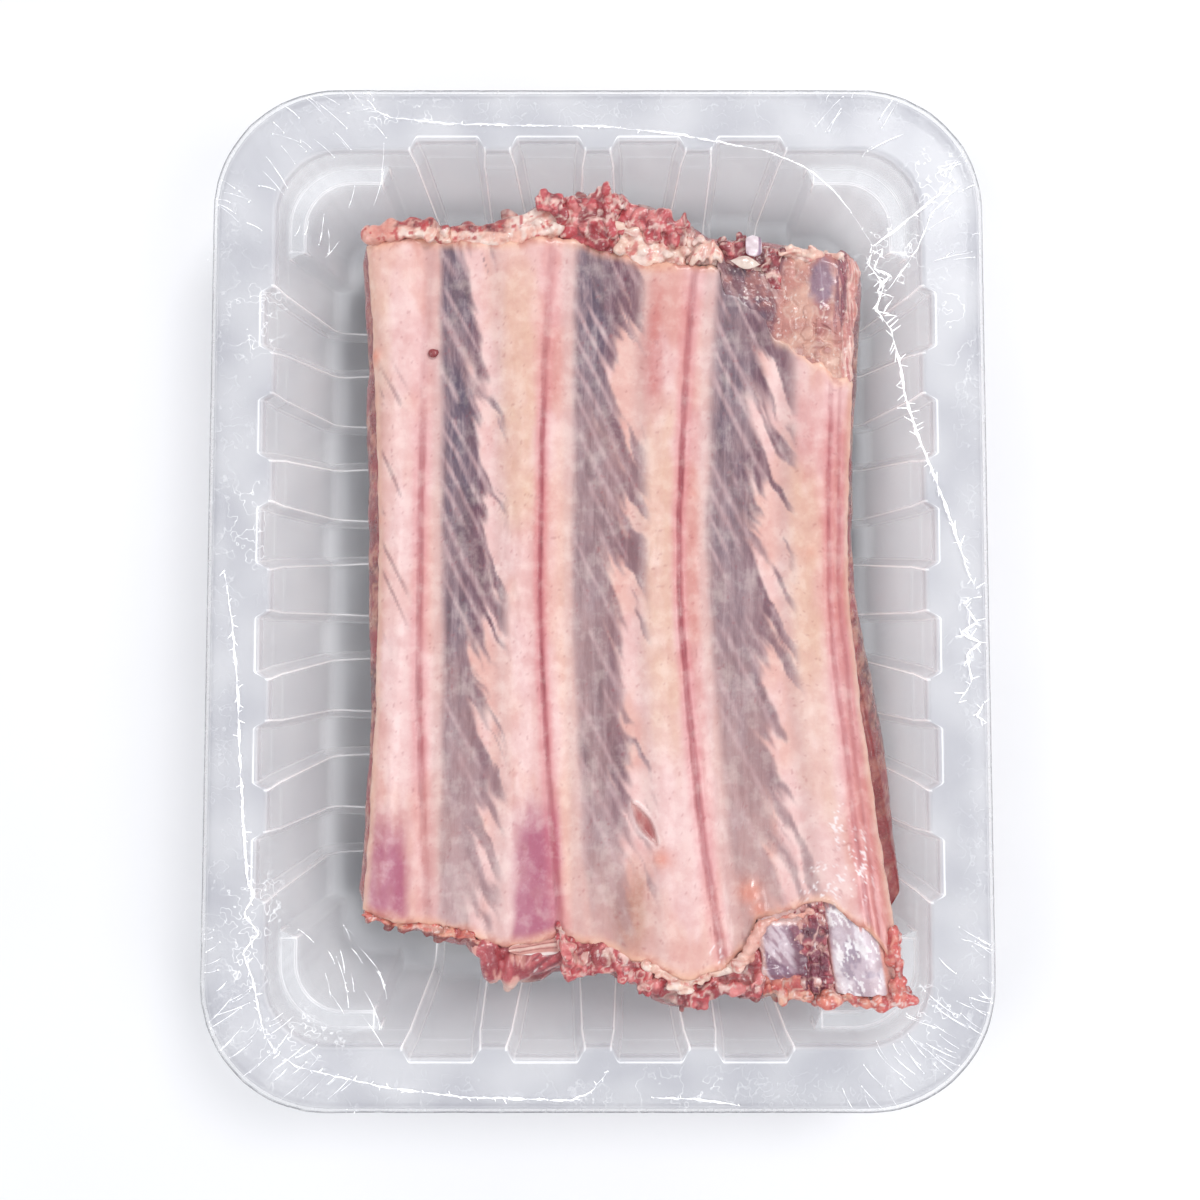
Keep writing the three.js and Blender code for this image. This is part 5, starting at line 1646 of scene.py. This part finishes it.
def build_film(settings):
    places = stations(20, 2)
    places = [(turn, place, corner, 0.0, 0.0, 0.0, 0.0) for turn, place, corner, *_ in places]
    rows = film_rows()
    loops = [ring(places, **row) for row in rows]
    count = len(places)
    points = np.concatenate(loops)
    total = len(points)
    points = np.concatenate([points, [[0, 0, rows[0]["z"]], [0, 0, rows[-1]["z"]]]])
    heights, sharp, crumple_glints = film_relief(points)
    rim_line = 1 - smooth(0.1, 0.3, np.abs(points[:, 2] - FILM_HIGH[2] + 1.2))
    top = points[:, 2] > FILM_SIDE
    points[:, 2] += np.where(top, np.minimum(heights, 0.3), 0)
    out = np.where(top, 0, heights) * 1.2
    radial = points[:, :2] / np.maximum(np.linalg.norm(points[:, :2], axis=1, keepdims=True), 1)
    points[:, :2] += radial * out[:, None] * 0.6
    faces = band_faces(count, len(rows))[:, ::-1].tolist()
    here = np.arange(count)
    for a, b in zip(here, np.roll(here, -1)):
        faces.append([int(a), int(b), total])
        faces.append([int(b) + total - count, int(a) + total - count, total + 1])
    # The red and green marks become painted white highlights; the blue one is a dark line at the rim.
    marks = np.stack([sharp * settings.film_crease_glint, crumple_glints, rim_line], axis=1)
    look = clear_look("clear film", (244, 246, 250), flat=0.02, edge=0.3, rough=0.14, gloss=0.09, crumple_glint=0.9)
    make_piece("clear_film", points, faces, "clear_film", None, "film", look, marks)


# Creases of the film: each is a few places along it, in millimetres, its width and its spurs
CREASES = (
    ("left", ((-113.5, 6), (-111, -10), (-109, -30), (-108, -50), (-106.5, -72), (-105, -88), (-103, -91),
              (-106, -97),
              (-101.5, -103), (-106, -108), (-103, -117), (-99.5, -132), (-95, -138)), 0.22, 2.4, 1.0),
    ("bottom", ((-95, -138), (-90, -141.5), (-78, -144.5), (-62, -148), (-40, -150.5), (-8, -151.5),
                (-2, -149), (3, -143)), 0.2, 2.6, 0.8),
    ("bottom_right", ((16, -150.5), (30, -151.2), (42, -153)), 0.16, 4.0, 0.6),
    ("top", ((-78, 148), (-71, 149.5), (-64, 146.5), (-56, 145.5), (-46, 144.5), (-25, 144), (2, 143.7),
             (26, 141), (52, 136),
             (64, 131), (72, 124.5), (78, 117), (85, 106)), 0.16, 6.0, 0.5),
    ("right", ((85, 106), (83.5, 100), (88, 94), (85.5, 86), (90, 80), (92.5, 70), (94.5, 58), (97.5, 48),
               (103, 34), (108, 20),
               (113, 4), (116.5, -2)), 0.24, 1.5, 1.6),
    ("right_corner", ((85, 106), (93, 112), (104, 121), (110, 127)), 0.2, 5.0, 0.7),
    ("right_corner_two", ((89, 92), (98, 104), (103, 116), (112, 125)), 0.14, 6.0, 0.5),
    ("right_knot", ((84, 104), (88, 105), (85, 99), (90, 97), (86, 92), (91, 90), (87.5, 85), (92, 84)),
     0.22, 2.0, 1.0),
    ("right_bunch", ((111, -4), (115, -10), (110, -13), (116, -16), (112, -19), (113, -28), (109, -34)),
     0.22, 1.6, 1.6),
    ("right_low", ((117, -34), (114.5, -38), (117.5, -40)), 0.2, 2.0, 1.2),
)


SPUR_SCALE, CREASE_SEED = 1.6, 300
CREASE_INPUTS = (  # name, kind and, where it is a length, its default
    ("Width", "Float", 0.0002), ("Spur Spacing", "Float", 0.002), ("Spur Length", "Float", 0.001),
    ("Jag", "Float", 0.0006), ("Seed", "Int", None), ("Material", "Material", None),
)
CREASE_NODES = (  # name, kind and settings, then its inputs: each a number, or another node's output
    ("start", "NodeGroupInput", {}, ()),
    ("fine", "GeometryNodeResampleCurve", {"mode": "LENGTH"},
     (("Length", 0.0008), ("Curve", "start.Geometry"))),
    ("wander", "ShaderNodeTexNoise", {}, (("Scale", 420.0), ("Detail", 3.0))),
    ("centred", "ShaderNodeVectorMath", {"operation": "SUBTRACT"},
     ((0, "wander.Color"), (1, (0.5, 0.5, 0.5)))),
    ("flat", "ShaderNodeVectorMath", {"operation": "MULTIPLY"}, ((0, "centred.0"), (1, (2.0, 2.0, 0.12)))),
    ("jagged", "ShaderNodeVectorMath", {"operation": "SCALE"}, ((0, "flat.0"), ("Scale", "start.Jag"))),
    ("moved", "GeometryNodeSetPosition", {}, (("Geometry", "fine.0"), ("Offset", "jagged.0"))),
    ("uneven", "ShaderNodeTexNoise", {}, (("Scale", 260.0),)),
    ("size", "ShaderNodeMapRange", {},
     (("From Min", 0.35), ("From Max", 0.65), ("To Min", 0.15), ("To Max", 1.8), ("Value", "uneven.Fac"))),
    ("share", "GeometryNodeSplineParameter", {}, ()),
    ("rest", "ShaderNodeMath", {"operation": "SUBTRACT"}, ((0, 1.0), (1, "share.Factor"))),
    ("hump", "ShaderNodeMath", {"operation": "MULTIPLY"}, ((0, "share.Factor"), (1, "rest.0"))),
    ("taper", "ShaderNodeMath", {"operation": "MULTIPLY", "use_clamp": True}, ((0, "hump.0"), (1, 7.0))),
    ("tapered", "ShaderNodeMath", {"operation": "MULTIPLY"}, ((0, "size.Result"), (1, "taper.0"))),
    ("thick", "GeometryNodeSetCurveRadius", {}, (("Curve", "moved.0"), ("Radius", "tapered.0"))),
    ("section", "GeometryNodeCurvePrimitiveCircle", {}, (("Resolution", 5), ("Radius", "start.Width"))),
    ("tube", "GeometryNodeCurveToMesh", {},
     (("Curve", "thick.0"), ("Profile Curve", "section.Curve"), ("Fill Caps", True))),
    ("spaced", "GeometryNodeResampleCurve", {"mode": "LENGTH"},
     (("Curve", "moved.0"), ("Length", "start.Spur Spacing"))),
    ("spur", "GeometryNodeMeshCone", {},
     (("Vertices", 5), ("Radius Bottom", 0.00017), ("Radius Top", 0.00008), ("Depth", "start.Spur Length"))),
    ("turn", "FunctionNodeRandomValue", {"data_type": "FLOAT_VECTOR"},
     ((0, (1.45, 0.0, 0.0)), (1, (1.69, 0.0, 6.28)), ("Seed", "start.Seed"))),
    ("grow", "FunctionNodeRandomValue", {"data_type": "FLOAT"}, ((2, 0.3), (3, 1.5), ("Seed", "start.Seed"))),
    ("strewn", "GeometryNodeInstanceOnPoints", {},
     (("Points", "spaced.0"), ("Instance", "spur.Mesh"), ("Rotation", "turn.0"), ("Scale", "grow.1"))),
    ("joined", "GeometryNodeJoinGeometry", {}, ((0, "tube.0"), (0, "strewn.0"))),
    ("solid", "GeometryNodeRealizeInstances", {}, ((0, "joined.0"),)),
    ("dressed", "GeometryNodeSetMaterial", {}, (("Geometry", "solid.0"), ("Material", "start.Material"))),
    ("end", "NodeGroupOutput", {}, ((0, "dressed.0"),)),
)


def crease_tree():
    """Geometry nodes for a crease: a thin uneven ridge along a path, with short spurs across it."""
    tree = bpy.data.node_groups.new("film crease", "GeometryNodeTree")
    face, link = tree.interface, tree.links.new
    face.new_socket("Geometry", in_out="INPUT", socket_type="NodeSocketGeometry")
    sockets = {}
    for name, kind, length in CREASE_INPUTS:
        socket = face.new_socket(name, in_out="INPUT", socket_type=f"NodeSocket{kind}")
        sockets[name] = socket.identifier
        if length:
            socket.default_value = length
            socket.subtype = "DISTANCE"
    face.new_socket("Geometry", in_out="OUTPUT", socket_type="NodeSocketGeometry")
    made = {}
    for name, kind, settings, inputs in CREASE_NODES:
        node = made[name] = tree.nodes.new(kind)
        for key, setting in settings.items():
            setattr(node, key, setting)
        for socket, value in inputs:
            if isinstance(value, str):
                source, output = value.split(".")
                link(made[source].outputs[int(output) if output.isdigit() else output], node.inputs[socket])
            else:
                node.inputs[socket].default_value = value
    if "Scale" in made["tube"].inputs:
        link(tree.nodes.new("GeometryNodeInputRadius").outputs[0], made["tube"].inputs["Scale"])
    return tree, sockets


def off_film(x, y):
    """Whether a place in the first corner lies beyond the film's rounded edge."""
    reach = EDGE_RADIUS - 1.2
    return math.hypot(max(x - FILM_HIGH[0] + EDGE_RADIUS, 0), max(y - FILM_HIGH[1] + EDGE_RADIUS, 0)) > reach


def streak(angle, near, long, turn):
    """A nearly straight line in the first corner, as four places."""
    path = []
    for share in (0.0, 0.35, 0.7, 1.0):
        bend = 0.25 * math.sin(share * math.pi)
        path.append((FOLD_X + near * math.cos(angle) + share * long * math.cos(turn) - bend * math.sin(turn),
                     FOLD_Y + near * math.sin(angle) + share * long * math.sin(turn) + bend * math.cos(turn)))
    return path


def corner_streaks():
    """Short straight creases that lie side by side over the rim at each corner."""
    rng = np.random.default_rng(61)
    groups = []
    corners = (  # sides in x and y, how many, how far out, the main angle and how much of it each takes
        (1, 1, 22, (41, 58), 0.62, 0.7), (-1, 1, 30, (41, 58), 0.62, 0.7), (-1, -1, 34, (41, 58), 0.62, 0.7),
        (1, -1, 44, (41, 58), 0.62, 0.7), (-1, -1, 18, (12, 30), 2.1, 1.0), (-1, 1, 8, (20, 34), 1.9, 1.0),
    )
    for number, (cx, cy, count, reach, main, share_of_main) in enumerate(corners):
        paths = []
        for _ in range(count):
            angle, near, long = rng.uniform(0.05, 1.5), rng.uniform(*reach), rng.uniform(3, 13)
            turn = mix(angle, main, share_of_main) + rng.choice([0.0, 0.0, 0.25, -0.3]) + rng.uniform(-0.1,
                                                                                                      0.1)
            while off_film(*streak(angle, near, long, turn)[-1]) and long > 1:
                long *= 0.8
            paths.append([(cx * px, cy * py) for px, py in streak(angle, near, long, turn)])
        groups.append((f"streaks_{number}a", paths[::2], 0.045, 9.0, 0.2))
        groups.append((f"streaks_{number}b", paths[1::2], 0.08, 9.0, 0.2))
    return groups


def build_creases(settings):
    tree, sockets = crease_tree()
    # The creases are painted white and glow with emission: painted highlights.
    look = crease_look()
    level = (FILM_HIGH[2] + 0.05) * MM
    creases = [(name, [path], *rest, 0.5) for name, path, *rest in CREASES]
    creases += [(*group, 0.12) for group in corner_streaks()]
    for number, (name, paths, width, spacing, length, jag) in enumerate(creases):
        curve = bpy.data.curves.new(f"crease_path_{name}", "CURVE")
        curve.dimensions = "3D"
        for path in paths:
            spline = curve.splines.new("POLY")
            spline.points.add(len(path) - 1)
            for point, (x, y) in zip(spline.points, path):
                point.co = (x * MM, y * MM, level, 1.0)
        source = add(f"crease_path_{name}", curve)
        modifier = source.modifiers.new("crease", "NODES")
        modifier.node_group = tree
        inputs = (width * MM * settings.crease_width, spacing * MM, length * MM * SPUR_SCALE, jag * MM,
                  CREASE_SEED + number, look)
        for (key, _, _), setting in zip(CREASE_INPUTS, inputs):
            modifier[sockets[key]] = setting
        shown = source.evaluated_get(bpy.context.evaluated_depsgraph_get())
        mesh = bpy.data.meshes.new_from_object(shown, depsgraph=bpy.context.evaluated_depsgraph_get())
        source.modifiers.remove(modifier)
        bpy.data.objects.remove(source)
        bpy.data.curves.remove(curve)
        if not mesh.polygons:
            raise RuntimeError(f"the crease {name} came out empty")
        piece = add(f"film_crease_glint_{name}", mesh)
        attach(piece, BODY)


# The stage
FLOOR_SIZE, FLOOR_DROP = 3.0, -0.0004
LAMPS = (  # name, place, width and power
    ("key", (0.55, 0.6, 1.2), 0.4, 6.5), ("left", (-0.8, -0.1, 1.15), 0.5, 3.0),
    ("right", (0.85, -0.2, 1.15), 0.5, 2.7), ("glow", (-0.5, -0.68, 1.25), 0.24, 0.9),
)
LAMP_AIM = Vector((0, 0, 0.03))
CAMERA = {"lens": 29.52, "sensor_width": 36.0, "shift_x": 0.0017, "shift_y": -0.045, "clip_start": 0.01}
CAMERA_PLACE, CAMERA_TILT = (0.0, 0.0, 0.35), math.radians(2.55)


def build_stage():
    """A pale floor, soft lamps and a camera where the photographer's stood."""
    mesh = bpy.data.meshes.new("floor")
    corners = ((-1, -1), (1, -1), (1, 1), (-1, 1))
    mesh.from_pydata([(x * FLOOR_SIZE, y * FLOOR_SIZE, FLOOR_DROP) for x, y in corners], [], [(0, 1, 2, 3)])
    look = Look("pale floor")
    look.link(look.blend(look.span(look.noise(6.0, 2.0), 0.3, 0.7, 0.0, 1.0), (246, 246, 247),
                         (250, 250, 251)),
              look.shader.inputs["Base Color"])
    look.set(Roughness=0.7, Specular_IOR_Level=0.2)
    mesh.materials.append(look.material)
    add("floor", mesh)
    world = bpy.data.worlds.new("soft studio")
    world.use_nodes = True
    world.node_tree.nodes["Background"].inputs["Color"].default_value = (0.93, 0.95, 1.0, 1.0)
    world.node_tree.nodes["Background"].inputs["Strength"].default_value = 0.65
    bpy.context.scene.world = world
    for name, spot, width, power in LAMPS:
        light = bpy.data.lights.new(name, "AREA")
        light.shape = "DISK"
        light.size = width
        light.energy = power
        lamp = add(name, light)
        lamp.location = spot
        lamp.rotation_euler = (LAMP_AIM - Vector(spot)).to_track_quat("-Z", "Y").to_euler()
    data = bpy.data.cameras.new("camera")
    for key, setting in CAMERA.items():
        setattr(data, key, setting)
    camera = add("camera", data)
    camera.location = CAMERA_PLACE
    camera.rotation_euler = (CAMERA_TILT, 0.0, 0.0)
    bpy.context.scene.camera = camera
    bpy.context.scene.view_settings.view_transform = "Standard"


class RibPackSettings(bpy.types.PropertyGroup):
    """Sizes and colours of the pack that a user would change."""

    detail: FloatProperty(name="Mesh detail", description="How finely the membrane and meat are cut",
                          default=1.0, min=0.3, max=1.0)
    tray_sheet: FloatProperty(name="Tray sheet", description="Thickness of the tray's sheet", default=0.0006,
                              unit="LENGTH")
    tray_colour: FloatVectorProperty(name="Tray tint", description="Tint of the clear tray",
                                     default=(0.80, 0.80, 0.825),
                                     size=3, subtype="COLOR", min=0.0, max=1.0)
    # How strongly the painted white highlights on the film's sharp wrinkles show.
    film_crease_glint: FloatProperty(name="Wrinkle show", description="How strongly the film's wrinkles show",
                               default=0.35, min=0.0, max=1.0)
    crease_width: FloatProperty(name="Crease width", description="Size of the film's sharp creases",
                                default=1.3, min=0.2, max=3.0)


class RIBPACK_OT_rack(bpy.types.Operator):
    """Makes the membrane, the ribs, the muscle between them and the meat under them"""

    bl_idname = "ribpack.rack"
    bl_label = "Rack"

    def execute(self, context):
        settings = context.scene.rib_pack
        LOOKS.update((kind, flesh_look(*values)) for kind, values in FLESH.items())
        low = lambda s: along(SKIN_BOTTOM, s) + 0.8
        high = lambda s: along(SKIN_TOP, s) - 0.8
        level = lambda y: (lambda s: np.zeros_like(s) + y)
        build_membrane(settings.detail)
        build_ribs(((low, level(111.5)), (level(-105.4), high), (low, high), (level(-122), high)))
        build_rib_muscles()
        build_slab(settings.detail)
        build_scrap()
        return {"FINISHED"}


class RIBPACK_OT_ends(bpy.types.Operator):
    """Makes the fat, torn muscle and crumbled meat at the rack's two ends"""

    bl_idname = "ribpack.ends"
    bl_label = "Ends of the rack"

    def execute(self, context):
        build_top_end()
        build_bottom_end()
        return {"FINISHED"}


class RIBPACK_OT_tray(bpy.types.Operator):
    """Makes the clear ribbed tray"""

    bl_idname = "ribpack.tray"
    bl_label = "Tray"

    def execute(self, context):
        build_tray(context.scene.rib_pack)
        return {"FINISHED"}


class RIBPACK_OT_film(bpy.types.Operator):
    """Makes the clear film and its creases"""

    bl_idname = "ribpack.film"
    bl_label = "Film"

    def execute(self, context):
        build_film(context.scene.rib_pack)
        build_creases(context.scene.rib_pack)
        return {"FINISHED"}


class RIBPACK_OT_stage(bpy.types.Operator):
    """Makes the floor, the lamps and the camera"""

    bl_idname = "ribpack.stage"
    bl_label = "Stage"

    def execute(self, context):
        build_stage()
        return {"FINISHED"}


class RIBPACK_PT_panel(bpy.types.Panel):
    """Lists the pack's settings and the operators that make its pieces"""

    bl_idname = "RIBPACK_PT_panel"
    bl_label = "Rib pack"
    bl_space_type = "VIEW_3D"
    bl_region_type = "UI"
    bl_category = "Rib pack"

    def draw(self, context):
        for name in RibPackSettings.__annotations__:
            self.layout.prop(context.scene.rib_pack, name)
        for operator in OPERATORS:
            self.layout.operator(operator.bl_idname)


OPERATORS = (RIBPACK_OT_stage, RIBPACK_OT_rack, RIBPACK_OT_ends, RIBPACK_OT_tray, RIBPACK_OT_film)
CLASSES = (RibPackSettings, *OPERATORS, RIBPACK_PT_panel)


def register():
    for item in CLASSES:
        bpy.utils.register_class(item)
    bpy.types.Scene.rib_pack = PointerProperty(type=RibPackSettings)


def unregister():
    del bpy.types.Scene.rib_pack
    for item in reversed(CLASSES):
        bpy.utils.unregister_class(item)


def main():
    register()
    for operator in OPERATORS:
        group, name = operator.bl_idname.split(".")
        getattr(getattr(bpy.ops, group), name)()
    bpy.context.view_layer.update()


if __name__ == "__main__":
    main()
